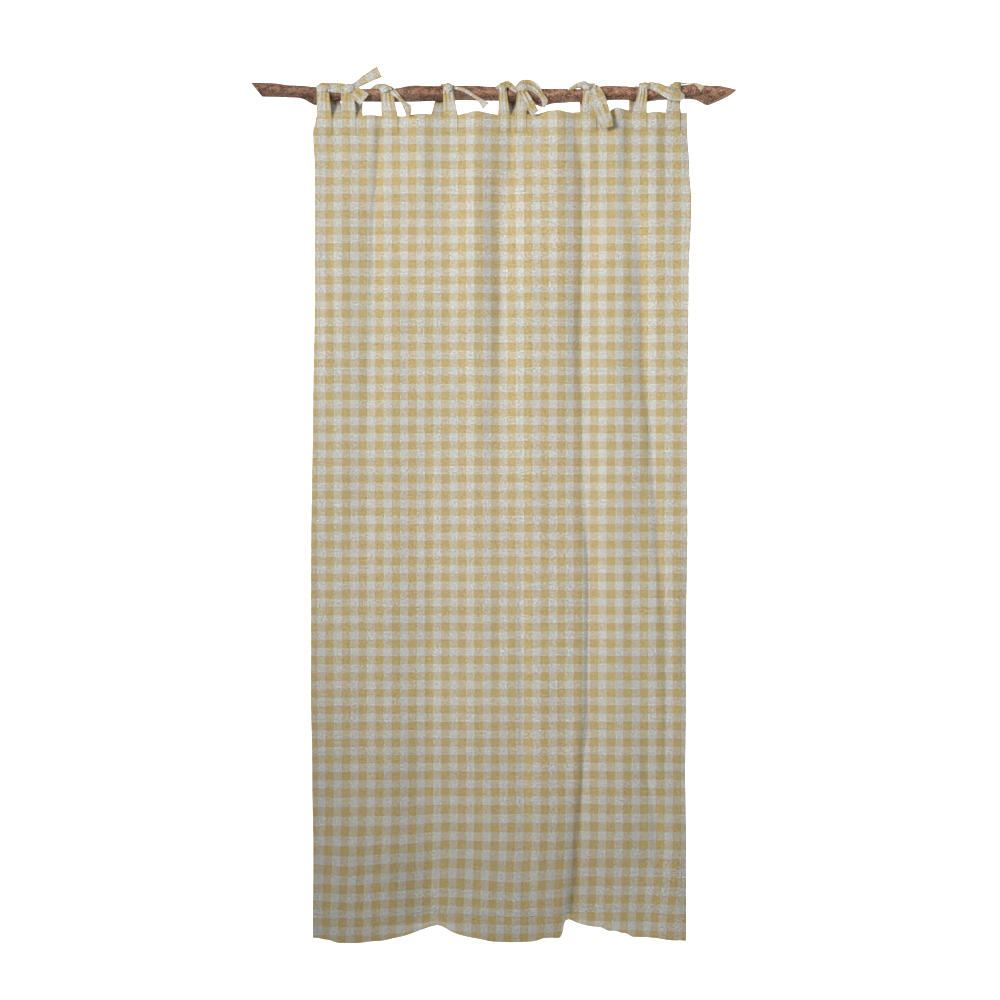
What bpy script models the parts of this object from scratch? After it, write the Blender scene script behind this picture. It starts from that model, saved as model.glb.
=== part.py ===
"""A gingham tie-top curtain on a branch rod, at its real size in metres, +Z up.

The front of the cloth faces -Y. The origin is on the branch's axis, above the middle of the panel.
"""

import math
from collections import namedtuple

import bmesh
import bpy
import numpy as np
from mathutils import Matrix, Vector

# Driving dimensions of the cloth: a ready-made 84 inch drop, hung almost flat.
DROP = 2.134
HALF_WIDTH = 0.485
CLOTH_THICK = 0.002
TOP_EDGE = -0.054
TOP_TILT = 0.0117
PANEL_COLUMNS = 66
PANEL_ROWS = 23
# The last rows of the panel's mesh, this far above the hem, where it curls back in the deep folds.
HEM_STEPS = (0.0427, 0.0214)

# The ribbons of the ties, how far they are sewn down, and what they clear the cloth and bark by.
RIBBON_THICK = 0.0016
THICKEST_RIBBON = 0.008
SEWN_DEPTH = 0.046
CLOTH_GAP = 0.0008
BARK_GAP = 0.0012
STRAP_CELLS_ACROSS = 3
TAIL_CELLS_ACROSS = 2
STEPS_BETWEEN_STATIONS = 2
FRONT, BACK = -1, 1

# Angles round the branch where a ribbon comes up to it in front and behind, and high on its back.
MEETS_FRONT = -18
MEETS_BACK = 198
HIGH_ON_BACK = 162

# The stops of a front strap: shares of its knot's angle, of its top width and of its knot's rise.
FrontStop = namedtuple("FrontStop", "angle width rise")
FRONT_STOPS = [FrontStop(0.35, 1.0, 0.0), FrontStop(0.72, 1.0, 1.0), FrontStop(1.08, 0.9, 1.6)]

# The stops of a back strap from high on the branch's back to its knot: the share of the way in
# angle, the share of the way along the branch, and the share of its top width.
BackStop = namedtuple("BackStop", "turned moved width")
BACK_STOPS = [BackStop(0.0, 0.0, 1.0), BackStop(0.5, 0.0, 0.85), BackStop(1.0, 0.5, 0.7)]

# The branch, and the sides of its section.
BRANCH_BEVEL_STEPS = 4
BRANCH_POINTS = 80

BranchStation = namedtuple("BranchStation", "x depth height radius")
BRANCH = [
    BranchStation(-0.670, 0.004, 0.0145, 0.0160),
    BranchStation(-0.596, 0.003, 0.0114, 0.0174),
    BranchStation(-0.537, 0.001, 0.0065, 0.0152),
    BranchStation(-0.475, 0.000, 0.0020, 0.0155),
    BranchStation(-0.402, -0.002, -0.0020, 0.0160),
    BranchStation(-0.347, -0.003, -0.0041, 0.0158),
    BranchStation(-0.277, -0.002, -0.0034, 0.0166),
    BranchStation(-0.223, -0.001, 0.0010, 0.0204),
    BranchStation(-0.170, 0.000, 0.0014, 0.0186),
    BranchStation(-0.117, 0.001, 0.0036, 0.0182),
    BranchStation(-0.078, 0.002, 0.0039, 0.0184),
    BranchStation(-0.005, 0.002, 0.0016, 0.0172),
    BranchStation(0.070, 0.001, -0.0035, 0.0180),
    BranchStation(0.130, 0.000, -0.0057, 0.0184),
    BranchStation(0.212, -0.002, -0.0049, 0.0158),
    BranchStation(0.275, -0.002, 0.0013, 0.0178),
    BranchStation(0.316, -0.001, 0.0021, 0.0170),
    BranchStation(0.376, 0.000, -0.0030, 0.0162),
    BranchStation(0.428, 0.001, 0.0029, 0.0166),
    BranchStation(0.467, 0.002, 0.0057, 0.0169),
    BranchStation(0.506, 0.002, 0.0066, 0.0180),
    BranchStation(0.557, 0.001, 0.0004, 0.0205),
    BranchStation(0.640, -0.001, -0.0100, 0.0165),
]

# A burl stands out of the branch: where, how far round (0 faces front, 90 up) and how high.
Burl = namedtuple("Burl", "x angle reach spread height")
BURLS = [
    Burl(-0.476, -90, 0.026, 34, 0.0160),
    Burl(0.108, -95, 0.018, 30, 0.0095),
    Burl(0.375, -80, 0.014, 30, 0.0030),
    Burl(0.535, -90, 0.022, 36, 0.0110),
]

# Both ends are sawn at a slant. Each cut is a point on it and its outward normal in X and Z.
EndCut = namedtuple("EndCut", "x z normal_x normal_z")
LEFT_CUT = EndCut(-0.632, 0.0128, -0.774, -0.633)
RIGHT_CUT = EndCut(0.585, -0.005, 0.463, -0.886)

# Between the ties the heading bows forward and rides up.
Bow = namedtuple("Bow", "x reach forward lift fade")
BOWS = [
    Bow(-0.335, 0.022, 0.006, 0.002, 0.10),
    Bow(-0.205, 0.036, 0.010, 0.002, 0.12),
    Bow(-0.060, 0.034, 0.016, 0.005, 0.14),
    Bow(0.153, 0.034, 0.016, 0.005, 0.12),
    Bow(0.304, 0.017, 0.022, 0.012, 0.07),
    Bow(0.405, 0.022, 0.006, 0.001, 0.10),
]

# How far each side edge wanders off its straight line, by share of the drop.
EdgeRow = namedtuple("EdgeRow", "down left right")
EDGES = [
    EdgeRow(0.00, 0.008, 0.000),
    EdgeRow(0.02, 0.000, 0.001),
    EdgeRow(0.07, 0.005, 0.006),
    EdgeRow(0.11, 0.005, 0.011),
    EdgeRow(0.20, 0.005, 0.004),
    EdgeRow(0.36, 0.000, 0.001),
    EdgeRow(0.52, -0.005, 0.001),
    EdgeRow(0.70, -0.005, -0.002),
    EdgeRow(0.80, -0.001, -0.005),
    EdgeRow(0.90, 0.002, -0.002),
    EdgeRow(1.00, 0.001, -0.002),
]
EDGE_REACH = 0.10

# A fold is a line down the cloth. Each row gives its place, its reach to each side and how far
# back it goes. A ridge goes forward, so its depth is below nought. Softness rounds its bottom.
FoldRow = namedtuple("FoldRow", "down x left right depth")
Fold = namedtuple("Fold", "softness rows")
LEFT_VALLEY = Fold(0.25, [
    FoldRow(0.00, -0.317, 0.014, 0.012, 0.002),
    FoldRow(0.07, -0.322, 0.014, 0.020, 0.007),
    FoldRow(0.15, -0.329, 0.016, 0.030, 0.008),
    FoldRow(0.28, -0.334, 0.020, 0.040, 0.005),
    FoldRow(0.45, -0.336, 0.030, 0.050, 0.000),
])
CENTRE_VALLEY = Fold(0.4, [
    FoldRow(0.00, 0.034, 0.008, 0.008, 0.001),
    FoldRow(0.05, 0.028, 0.020, 0.020, 0.008),
    FoldRow(0.10, 0.013, 0.030, 0.030, 0.014),
    FoldRow(0.22, 0.000, 0.022, 0.040, 0.013),
    FoldRow(0.35, -0.004, 0.030, 0.050, 0.007),
    FoldRow(0.50, 0.000, 0.040, 0.050, 0.000),
])
MAIN_FOLD = Fold(0.2, [
    FoldRow(0.00, 0.190, 0.010, 0.010, 0.001),
    FoldRow(0.08, 0.212, 0.012, 0.020, 0.004),
    FoldRow(0.30, 0.207, 0.014, 0.030, 0.008),
    FoldRow(0.45, 0.212, 0.020, 0.040, 0.006),
    FoldRow(0.56, 0.232, 0.014, 0.040, 0.009),
    FoldRow(0.70, 0.227, 0.012, 0.050, 0.010),
    FoldRow(0.80, 0.214, 0.011, 0.060, 0.011),
    FoldRow(0.90, 0.196, 0.010, 0.080, 0.016),
    FoldRow(0.98, 0.177, 0.010, 0.095, 0.040),
    FoldRow(1.00, 0.172, 0.010, 0.108, 0.068),
])
RIGHT_VALLEY = Fold(0.3, [
    FoldRow(0.08, 0.355, 0.020, 0.020, 0.000),
    FoldRow(0.20, 0.366, 0.018, 0.026, 0.008),
    FoldRow(0.30, 0.373, 0.018, 0.030, 0.012),
    FoldRow(0.42, 0.395, 0.020, 0.030, 0.012),
    FoldRow(0.52, 0.410, 0.018, 0.020, 0.011),
    FoldRow(0.62, 0.432, 0.018, 0.018, 0.009),
    FoldRow(0.74, 0.430, 0.020, 0.020, 0.005),
    FoldRow(0.88, 0.430, 0.020, 0.020, 0.000),
])
LOWER_CREASE = Fold(0.25, [
    FoldRow(0.48, 0.050, 0.014, 0.020, 0.000),
    FoldRow(0.58, 0.054, 0.014, 0.020, 0.006),
    FoldRow(0.75, 0.054, 0.014, 0.024, 0.009),
    FoldRow(0.90, 0.060, 0.016, 0.030, 0.011),
    FoldRow(1.00, 0.064, 0.020, 0.030, 0.006),
])
HEM_VALLEY = Fold(4.0, [
    FoldRow(0.48, -0.200, 0.040, 0.040, 0.000),
    FoldRow(0.70, -0.208, 0.040, 0.040, 0.005),
    FoldRow(0.88, -0.194, 0.038, 0.034, 0.010),
    FoldRow(0.95, -0.182, 0.037, 0.032, 0.030),
    FoldRow(0.98, -0.178, 0.036, 0.031, 0.038),
    FoldRow(1.00, -0.176, 0.036, 0.031, 0.064),
])
SHORT_CREASE = Fold(0.25, [
    FoldRow(0.74, 0.378, 0.012, 0.014, 0.000),
    FoldRow(0.81, 0.386, 0.012, 0.014, 0.005),
    FoldRow(0.88, 0.402, 0.012, 0.018, 0.006),
    FoldRow(0.96, 0.412, 0.012, 0.020, 0.000),
])
LEFT_RIDGE = Fold(4.0, [
    FoldRow(0.74, -0.370, 0.060, 0.050, 0.000),
    FoldRow(0.86, -0.365, 0.060, 0.050, -0.022),
    FoldRow(1.00, -0.360, 0.060, 0.050, -0.030),
])
MIDDLE_RIDGE = Fold(4.0, [
    FoldRow(0.70, 0.080, 0.050, 0.040, 0.000),
    FoldRow(0.88, 0.080, 0.050, 0.036, -0.010),
    FoldRow(1.00, 0.060, 0.050, 0.036, -0.014),
])
TURNED_EDGE = Fold(1.0, [
    FoldRow(0.50, 0.486, 0.014, 0.010, 0.000),
    FoldRow(0.58, 0.486, 0.014, 0.010, 0.009),
    FoldRow(0.66, 0.486, 0.014, 0.010, 0.009),
    FoldRow(0.74, 0.486, 0.014, 0.010, 0.000),
])
FOLDS = [
    LEFT_VALLEY, CENTRE_VALLEY, MAIN_FOLD, RIGHT_VALLEY, LOWER_CREASE, HEM_VALLEY,
    SHORT_CREASE, LEFT_RIDGE, MIDDLE_RIDGE, TURNED_EDGE,
]
# The columns of the panel's mesh run along the main fold, up to this far to each side of it.
FOLLOW_REACH = 0.10

# Broad, shallow waves over the cloth, from these shares of the drop on: height, wavelength, start,
# and drift down the drop.
WAVES_BEGIN, WAVES_FULL = 0.02, 0.16
Wave = namedtuple("Wave", "height length start drift")
WAVES = [
    Wave(0.0024, 0.190, 0.6, 1.1),
    Wave(0.0016, 0.117, 2.1, -1.7),
    Wave(0.0030, 0.430, 4.0, 0.8),
]

# Each tie is two ribbons, sewn to the heading's front and back and knotted over the branch.
Strap = namedtuple("Strap", "sewn_x sewn_width top_x top_width")
Knot = namedtuple("Knot", "x angle half_length half_width rise turn")
# A tail row is a place on its middle line, its width and thickness, and how far it is rolled
# about that line from facing the front.
TailRow = namedtuple("TailRow", "x depth height width thick roll")
Tie = namedtuple("Tie", "front back knot tails")
KNOT_SEGMENTS, KNOT_RINGS = 10, 7

TIES = {
    "tie_1": Tie(
        Strap(-0.455, 0.039, -0.456, 0.031),
        Strap(-0.424, 0.036, -0.446, 0.030),
        Knot(-0.455, 74, 0.017, 0.012, 0.0052, 4),
        [[
            TailRow(-0.452, -0.012, 0.024, 0.016, 0.005, -35),
            TailRow(-0.435, -0.013, 0.023, 0.019, 0.005, -35),
            TailRow(-0.423, -0.014, 0.020, 0.020, 0.004, -30),
            TailRow(-0.413, -0.014, 0.018, 0.019, 0.004, -30),
        ]],
    ),
    "tie_2": Tie(
        Strap(-0.393, 0.039, -0.391, 0.034),
        Strap(-0.374, 0.036, -0.376, 0.030),
        Knot(-0.389, 68, 0.019, 0.013, 0.0056, -6),
        [[
            TailRow(-0.388, -0.014, 0.016, 0.016, 0.004, 0),
            TailRow(-0.370, -0.015, 0.026, 0.021, 0.003, 10),
            TailRow(-0.346, -0.018, 0.041, 0.028, 0.0016, 12),
            TailRow(-0.317, -0.022, 0.056, 0.029, 0.0016, 8),
        ], [
            TailRow(-0.386, -0.018, 0.014, 0.018, 0.004, 0),
            TailRow(-0.371, -0.026, 0.003, 0.034, 0.003, 0),
            TailRow(-0.353, -0.027, -0.009, 0.036, 0.003, -8),
        ]],
    ),
    "tie_3": Tie(
        Strap(-0.285, 0.041, -0.292, 0.031),
        Strap(-0.296, 0.036, -0.314, 0.030),
        Knot(-0.293, 70, 0.018, 0.012, 0.0054, 5),
        [[
            TailRow(-0.284, -0.016, 0.011, 0.013, 0.004, 0),
            TailRow(-0.271, -0.024, -0.002, 0.015, 0.003, 10),
            TailRow(-0.255, -0.024, -0.021, 0.010, 0.003, 25),
            TailRow(-0.236, -0.019, -0.038, 0.018, 0.0022, 10),
            TailRow(-0.237, -0.018, -0.058, 0.011, 0.0022, 0),
        ]],
    ),
    "tie_4": Tie(
        Strap(-0.128, 0.037, -0.134, 0.025),
        Strap(-0.163, 0.032, -0.143, 0.026),
        Knot(-0.133, 72, 0.014, 0.012, 0.0050, 0),
        [[
            TailRow(-0.128, -0.013, 0.021, 0.010, 0.004, 0),
            TailRow(-0.104, -0.018, 0.012, 0.010, 0.003, 15),
            TailRow(-0.079, -0.024, 0.001, 0.011, 0.003, 20),
            TailRow(-0.054, -0.027, -0.014, 0.010, 0.003, 10),
            TailRow(-0.038, -0.028, -0.034, 0.022, 0.0018, 0),
        ]],
    ),
    "tie_5": Tie(
        Strap(0.010, 0.031, 0.007, 0.018),
        Strap(0.024, 0.032, 0.016, 0.026),
        Knot(0.007, 68, 0.012, 0.012, 0.0052, 12),
        [[
            TailRow(0.006, -0.011, 0.021, 0.012, 0.004, -30),
            TailRow(0.020, -0.006, 0.030, 0.014, 0.004, -45),
            TailRow(0.033, -0.008, 0.022, 0.012, 0.003, -45),
        ]],
    ),
    "tie_6": Tie(
        Strap(0.054, 0.030, 0.058, 0.026),
        Strap(0.066, 0.036, 0.070, 0.028),
        Knot(0.063, 66, 0.020, 0.013, 0.0066, -6),
        [[
            TailRow(0.062, -0.017, 0.009, 0.018, 0.004, 0),
            TailRow(0.068, -0.024, -0.010, 0.023, 0.003, 0),
            TailRow(0.079, -0.020, -0.032, 0.025, 0.002, 0),
            TailRow(0.089, -0.015, -0.052, 0.026, 0.002, 0),
        ], [
            TailRow(0.070, -0.012, 0.018, 0.016, 0.004, 0),
            TailRow(0.094, -0.019, 0.015, 0.016, 0.003, 10),
            TailRow(0.108, -0.024, -0.006, 0.014, 0.003, 20),
            TailRow(0.117, -0.026, -0.024, 0.017, 0.002, 0),
            TailRow(0.113, -0.026, -0.041, 0.007, 0.002, 0),
        ]],
    ),
    "tie_7": Tie(
        Strap(0.230, 0.041, 0.231, 0.032),
        Strap(0.216, 0.036, 0.205, 0.030),
        Knot(0.231, 70, 0.018, 0.013, 0.0062, 0),
        [[
            TailRow(0.234, -0.016, 0.013, 0.020, 0.006, 0),
            TailRow(0.247, -0.026, -0.010, 0.029, 0.0022, 0),
            TailRow(0.262, -0.026, -0.040, 0.032, 0.0022, 0),
            TailRow(0.277, -0.024, -0.068, 0.032, 0.0022, 0),
            TailRow(0.288, -0.026, -0.092, 0.030, 0.0022, 0),
        ]],
    ),
    "tie_8": Tie(
        Strap(0.361, 0.038, 0.375, 0.030),
        Strap(0.355, 0.033, 0.366, 0.030),
        Knot(0.376, 74, 0.017, 0.012, 0.0056, -8),
        [[
            TailRow(0.380, -0.012, 0.020, 0.018, 0.004, -30),
            TailRow(0.401, -0.022, 0.014, 0.027, 0.0022, -20),
            TailRow(0.428, -0.026, 0.001, 0.031, 0.0022, -5),
            TailRow(0.464, -0.027, -0.011, 0.028, 0.0022, 0),
        ]],
    ),
    "tie_9": Tie(
        Strap(0.448, 0.038, 0.450, 0.031),
        Strap(0.452, 0.036, 0.453, 0.030),
        Knot(0.452, 74, 0.016, 0.012, 0.0054, 0),
        [[
            TailRow(0.460, -0.004, 0.030, 0.010, 0.004, -60),
            TailRow(0.484, -0.003, 0.027, 0.008, 0.003, -60),
            TailRow(0.506, -0.011, 0.025, 0.010, 0.003, -50),
            TailRow(0.526, -0.020, 0.014, 0.016, 0.002, -20),
        ]],
    ),
}

# The colours and finishes.
CLOTH_COLOUR = (0.58, 0.53, 0.40)
TIE_COLOUR = (0.62, 0.57, 0.44)
BARK_COLOUR = (0.30, 0.16, 0.10)
CLOTH_ROUGHNESS = 0.92
BARK_ROUGHNESS = 0.85


def between(low, high, value):
    """How far value has gone from low to high, easing in and out, from 0 to 1."""
    share = min(1.0, max(0.0, (value - low) / (high - low)))
    return share * share * (3.0 - 2.0 * share)


def read_table(rows, at):
    """The row at this place, eased between its neighbours. A table's first column is the place."""
    if at <= rows[0][0]:
        return rows[0]
    for before, after in zip(rows, rows[1:]):
        if at <= after[0]:
            share = between(before[0], after[0], at)
            return type(before)(*(a + (b - a) * share for a, b in zip(before, after)))
    return rows[-1]


def branch_axis(x):
    """(depth, height) of the branch's axis."""
    station = read_table(BRANCH, x)
    return station.depth, station.height


def branch_radius(x, angle):
    """The branch's radius at this place along it and this angle round it, in degrees."""
    radius = read_table(BRANCH, x).radius
    for burl in BURLS:
        turn = (angle - burl.angle + 180.0) % 360.0 - 180.0
        radius += burl.height * math.exp(-((x - burl.x) / burl.reach) ** 2 - (turn / burl.spread) ** 2)
    return radius


def round_branch(x, angle, above):
    """The point at this angle round the branch and this far above its bark."""
    depth, height = branch_axis(x)
    reach = branch_radius(x, angle) + above
    return Vector((x, depth - reach * math.cos(math.radians(angle)),
                   height + reach * math.sin(math.radians(angle))))


def fold_share(offset, left, right, softness):
    """How much of a fold's depth is left at this distance from its line."""
    reach = left if offset < 0 else right
    return math.exp(softness - math.sqrt((offset / reach) ** 2 + softness ** 2))


def cloth_depth(x, down):
    """How far back the cloth lies, from its place across and its share of the drop."""
    depth = 0.0
    for bow in BOWS:
        depth -= bow.forward * math.exp(-down / bow.fade - ((x - bow.x) / bow.reach) ** 2)
    for fold in FOLDS:
        row = read_table(fold.rows, down)
        if row.depth:
            depth += row.depth * fold_share(x - row.x, row.left, row.right, fold.softness)
    settle = between(WAVES_BEGIN, WAVES_FULL, down)
    for wave in WAVES:
        phase = 2.0 * math.pi * x / wave.length + wave.start + wave.drift * down
        depth += settle * wave.height * math.sin(phase)
    return depth


def cloth_top(x):
    """The height of the heading's edge."""
    lift = sum(bow.lift * math.exp(-((x - bow.x) / bow.reach) ** 2) for bow in BOWS)
    return TOP_EDGE + TOP_TILT * x + lift


def cloth_across(x, down):
    """Where a column of the panel lies in X: its side edges wander, and it follows the main fold."""
    row = read_table(EDGES, down)
    from_left, from_right = x + HALF_WIDTH, HALF_WIDTH - x
    start = MAIN_FOLD.rows[0].x
    drift = read_table(MAIN_FOLD.rows, down).x - start
    return (x + row.left * math.exp(-(from_left / EDGE_REACH) ** 2)
            + row.right * math.exp(-(from_right / EDGE_REACH) ** 2)
            + drift * math.exp(-((x - start) / FOLLOW_REACH) ** 2))


def panel_lengths():
    """How far down the cloth each row of the panel's mesh lies. The first three hold the ties."""
    step = (DROP - SEWN_DEPTH) / PANEL_ROWS
    even = [SEWN_DEPTH + step * row for row in range(PANEL_ROWS)]
    return [0.0, SEWN_DEPTH / 2.0] + even + [DROP - up for up in HEM_STEPS] + [DROP]


def cloth_column(x, lengths):
    """The points down one column. The cloth keeps its length, so a swing back lifts the hem."""
    points = [Vector((cloth_across(x, 0.0), cloth_depth(cloth_across(x, 0.0), 0.0), cloth_top(x)))]
    for before, length in zip(lengths, lengths[1:]):
        last = points[-1]
        across = cloth_across(x, length / DROP)
        depth = cloth_depth(across, length / DROP)
        fall = math.sqrt((length - before) ** 2 - (depth - last.y) ** 2)
        points.append(Vector((across, depth, last.z - fall)))
    return points


def panel_points():
    """The grid of points of the panel, row by row from the heading's edge to the hem."""
    across = [HALF_WIDTH * (2.0 * column / PANEL_COLUMNS - 1.0) for column in range(PANEL_COLUMNS + 1)]
    lengths = panel_lengths()
    return list(zip(*(cloth_column(x, lengths) for x in across)))


def make_material(name, colour, roughness):
    material = bpy.data.materials.new(name)
    material.use_nodes = True
    shader = material.node_tree.nodes["Principled BSDF"]
    shader.inputs["Base Color"].default_value = (*colour, 1.0)
    shader.inputs["Roughness"].default_value = roughness
    return material


def add_object(name, mesh, collection, material=None):
    obj = bpy.data.objects.new(name, mesh)
    if material:
        mesh.materials.append(material)
    mesh.shade_smooth()
    collection.objects.link(obj)
    return obj


def add_sheet(name, points, collection, material=None, thickness=CLOTH_THICK, shares=None):
    """A sheet through a grid of points, given row by row. Shares thin it, one share for each row."""
    rows, columns = len(points) - 1, len(points[0]) - 1
    bm = bmesh.new()
    bmesh.ops.create_grid(bm, x_segments=columns, y_segments=rows, size=0.5)
    row_of = []
    for vert in bm.verts:
        column = round((vert.co.x + 0.5) * columns)
        row = round((0.5 - vert.co.y) * rows)
        vert.co = points[row][column]
        row_of.append(row)
    mesh = bpy.data.meshes.new(name)
    bm.to_mesh(mesh)
    bm.free()
    obj = add_object(name, mesh, collection, material)
    solidify = obj.modifiers.new("thickness", "SOLIDIFY")
    solidify.thickness = thickness
    solidify.offset = 0.0
    if shares:
        group = obj.vertex_groups.new(name="share")
        for index, row in enumerate(row_of):
            group.add([index], shares[row], "REPLACE")
        solidify.vertex_group = group.name
    return obj


def saw_off(bm, cut):
    """Cuts the mesh at a plane, drops what lies beyond it and closes the cut."""
    result = bmesh.ops.bisect_plane(
        bm, geom=bm.verts[:] + bm.edges[:] + bm.faces[:], clear_outer=True,
        plane_co=Vector((cut.x, 0.0, cut.z)), plane_no=Vector((cut.normal_x, 0.0, cut.normal_z)))
    rim = [item for item in result["geom_cut"] if isinstance(item, bmesh.types.BMEdge)]
    bmesh.ops.holes_fill(bm, edges=rim, sides=0)


def make_branch(collection, material):
    """A tube along the branch's axis, pushed out to its burls and sawn off at both ends."""
    curve = bpy.data.curves.new("branch_guide", "CURVE")
    curve.dimensions = "3D"
    curve.bevel_depth = 1.0
    curve.bevel_resolution = BRANCH_BEVEL_STEPS
    spline = curve.splines.new("POLY")
    spline.points.add(BRANCH_POINTS - 1)
    start, end = BRANCH[0].x, BRANCH[-1].x
    for index, point in enumerate(spline.points):
        x = start + (end - start) * index / (BRANCH_POINTS - 1)
        depth, height = branch_axis(x)
        point.co = (x, depth, height, 1.0)
        point.radius = read_table(BRANCH, x).radius
    guide = bpy.data.objects.new("branch_guide", curve)
    collection.objects.link(guide)
    mesh = bpy.data.meshes.new_from_object(guide.evaluated_get(bpy.context.evaluated_depsgraph_get()))
    bpy.data.objects.remove(guide)
    bm = bmesh.new()
    bm.from_mesh(mesh)
    for vert in bm.verts:
        depth, height = branch_axis(vert.co.x)
        angle = math.degrees(math.atan2(vert.co.z - height, depth - vert.co.y))
        vert.co = round_branch(vert.co.x, angle, 0.0)
    saw_off(bm, LEFT_CUT)
    saw_off(bm, RIGHT_CUT)
    bmesh.ops.recalc_face_normals(bm, faces=bm.faces[:])
    bm.to_mesh(mesh)
    bm.free()
    return add_object("branch", mesh, collection, material)


def across_strap(x, width):
    """The places across a strap, from its left edge to its right."""
    return [x + width * (index / STRAP_CELLS_ACROSS - 0.5) for index in range(STRAP_CELLS_ACROSS + 1)]


def on_cloth(panel_row, side, x, width):
    """A row of a strap that lies on the heading's face, along one row of the panel."""
    places = [point.x for point in panel_row]
    away = side * ((CLOTH_THICK + RIBBON_THICK) / 2.0 + CLOTH_GAP)
    height = np.interp(x, places, [point.z for point in panel_row])
    depths = np.interp(across_strap(x, width), places, [point.y for point in panel_row])
    return [Vector((here, depth + away, height)) for here, depth in zip(across_strap(x, width), depths)]


def on_branch(x, angle, width, above=0.0):
    """A row of a strap that lies on the branch, at an angle round it."""
    lift = BARK_GAP + RIBBON_THICK / 2.0 + above
    return [round_branch(here, angle, lift) for here in across_strap(x, width)]


def clear_of_branch(point, above):
    """The point, or if it is too near the branch, the one this far above the bark."""
    depth, height = branch_axis(point.x)
    angle = math.degrees(math.atan2(point.z - height, depth - point.y))
    outside = round_branch(point.x, angle, above)
    axis = Vector((point.x, depth, height))
    return outside if (point - axis).length < (outside - axis).length else point


def clear_of_cloth(point, above):
    """The point, or if it is behind or too near the heading's front, the one this far before it."""
    below = cloth_top(point.x) + above - point.z
    if below < 0.0:
        return point
    nearest = cloth_depth(point.x, below / DROP) - CLOTH_THICK / 2.0 - above
    return Vector((point.x, min(point.y, nearest), point.z))


def tail_row(row, tangent):
    """A row of points across a free tail, square to the way that it runs."""
    across = tangent.cross(Vector((0.0, -1.0, 0.0))).normalized()
    face = across.cross(tangent).normalized()
    roll = math.radians(row.roll)
    across = across * math.cos(roll) + face * math.sin(roll)
    middle = Vector((row.x, row.depth, row.height))
    cells = TAIL_CELLS_ACROSS
    return [middle + across * row.width * (index / cells - 0.5) for index in range(cells + 1)]


def smooth_between(before, start, end, after, share):
    """A value on the smooth curve from start to end that heads for their neighbours."""
    return 0.5 * (2.0 * start + (end - before) * share
                  + (2.0 * before - 5.0 * start + 4.0 * end - after) * share ** 2
                  + (3.0 * start - before - 3.0 * end + after) * share ** 3)


def smooth_rows(rows):
    """The rows with smooth steps put between them."""
    smooth = []
    for index in range(len(rows) - 1):
        four = (rows[max(index - 1, 0)], rows[index], rows[index + 1], rows[min(index + 2, len(rows) - 1)])
        for step in range(STEPS_BETWEEN_STATIONS):
            share = step / STEPS_BETWEEN_STATIONS
            smooth.append([smooth_between(*column, share) for column in zip(*four)])
    smooth.append(rows[-1])
    return smooth


def add_strap(name, sewn, free, collection, material):
    """A strap that is straight where it is sewn down and curves from the heading's edge on."""
    points = sewn[:-1] + smooth_rows(sewn[-1:] + free)
    return add_sheet(name, points, collection, material, thickness=RIBBON_THICK)


def add_tail(name, rows, collection):
    """A free end of a ribbon, from inside its knot to its cut end, kept clear of bark and cloth."""
    middles = [Vector((row.x, row.depth, row.height)) for row in rows]
    tangents = [
        (middles[min(index + 1, len(rows) - 1)] - middles[max(index - 1, 0)]).normalized()
        for index in range(len(rows))
    ]
    points = smooth_rows([tail_row(row, tangent) for row, tangent in zip(rows, tangents)])
    thicks = [thick for thick, in smooth_rows([[row.thick] for row in rows])]
    for row, thick in zip(points, thicks):
        row[:] = [clear_of_branch(point, BARK_GAP + thick / 2.0) for point in row]
        row[:] = [clear_of_cloth(point, BARK_GAP + thick / 2.0) for point in row]
    shares = [thick / THICKEST_RIBBON for thick in thicks]
    return add_sheet(name, points, collection, thickness=THICKEST_RIBBON, shares=shares)


def add_knot(name, knot, collection):
    """The lump of a knot, lying on the branch's bark."""
    bm = bmesh.new()
    bmesh.ops.create_uvsphere(bm, u_segments=KNOT_SEGMENTS, v_segments=KNOT_RINGS, radius=1.0)
    place = (Matrix.Translation(round_branch(knot.x, knot.angle, BARK_GAP + CLOTH_GAP + knot.rise))
             @ Matrix.Rotation(math.radians(90.0 - knot.angle), 4, "X")
             @ Matrix.Rotation(math.radians(knot.turn), 4, "Z")
             @ Matrix.Diagonal((knot.half_length, knot.half_width, knot.rise, 1.0)))
    bmesh.ops.transform(bm, matrix=place, verts=bm.verts[:])
    mesh = bpy.data.meshes.new(name)
    bm.to_mesh(mesh)
    bm.free()
    return add_object(name, mesh, collection)


def sewn_rows(strap, side, panel):
    """The rows of a strap along the panel's first three, from its sewn end to the heading's edge."""
    return [on_cloth(panel[index], side, strap.sewn_x, strap.sewn_width) for index in (2, 1, 0)]


def first_on_branch(strap, angle):
    """The row where a strap comes up to the branch."""
    width = (strap.sewn_width + strap.top_width) / 2.0
    return on_branch((strap.sewn_x + strap.top_x) / 2.0, angle, width, above=CLOTH_GAP)


def make_front_ribbon(name, tie, panel, collection, helpers, material):
    """Up from the heading's front, over the front of the branch, through the knot to its free ends."""
    strap, knot = tie.front, tie.knot
    free = [first_on_branch(strap, MEETS_FRONT)] + [
        on_branch(strap.top_x, knot.angle * stop.angle, strap.top_width * stop.width, knot.rise * stop.rise)
        for stop in FRONT_STOPS
    ]
    ribbon = add_strap(f"{name}_front", sewn_rows(strap, FRONT, panel), free, collection, material)
    pieces = [add_knot(f"{name}_knot", knot, helpers)]
    pieces += [add_tail(f"{name}_tail_{index}", tail, helpers) for index, tail in enumerate(tie.tails, 1)]
    for piece in pieces:
        piece.hide_render = True
        piece.display_type = "WIRE"
        join = ribbon.modifiers.new(piece.name, "BOOLEAN")
        join.operation = "UNION"
        join.use_self = True
        join.object = piece
    return ribbon


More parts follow.
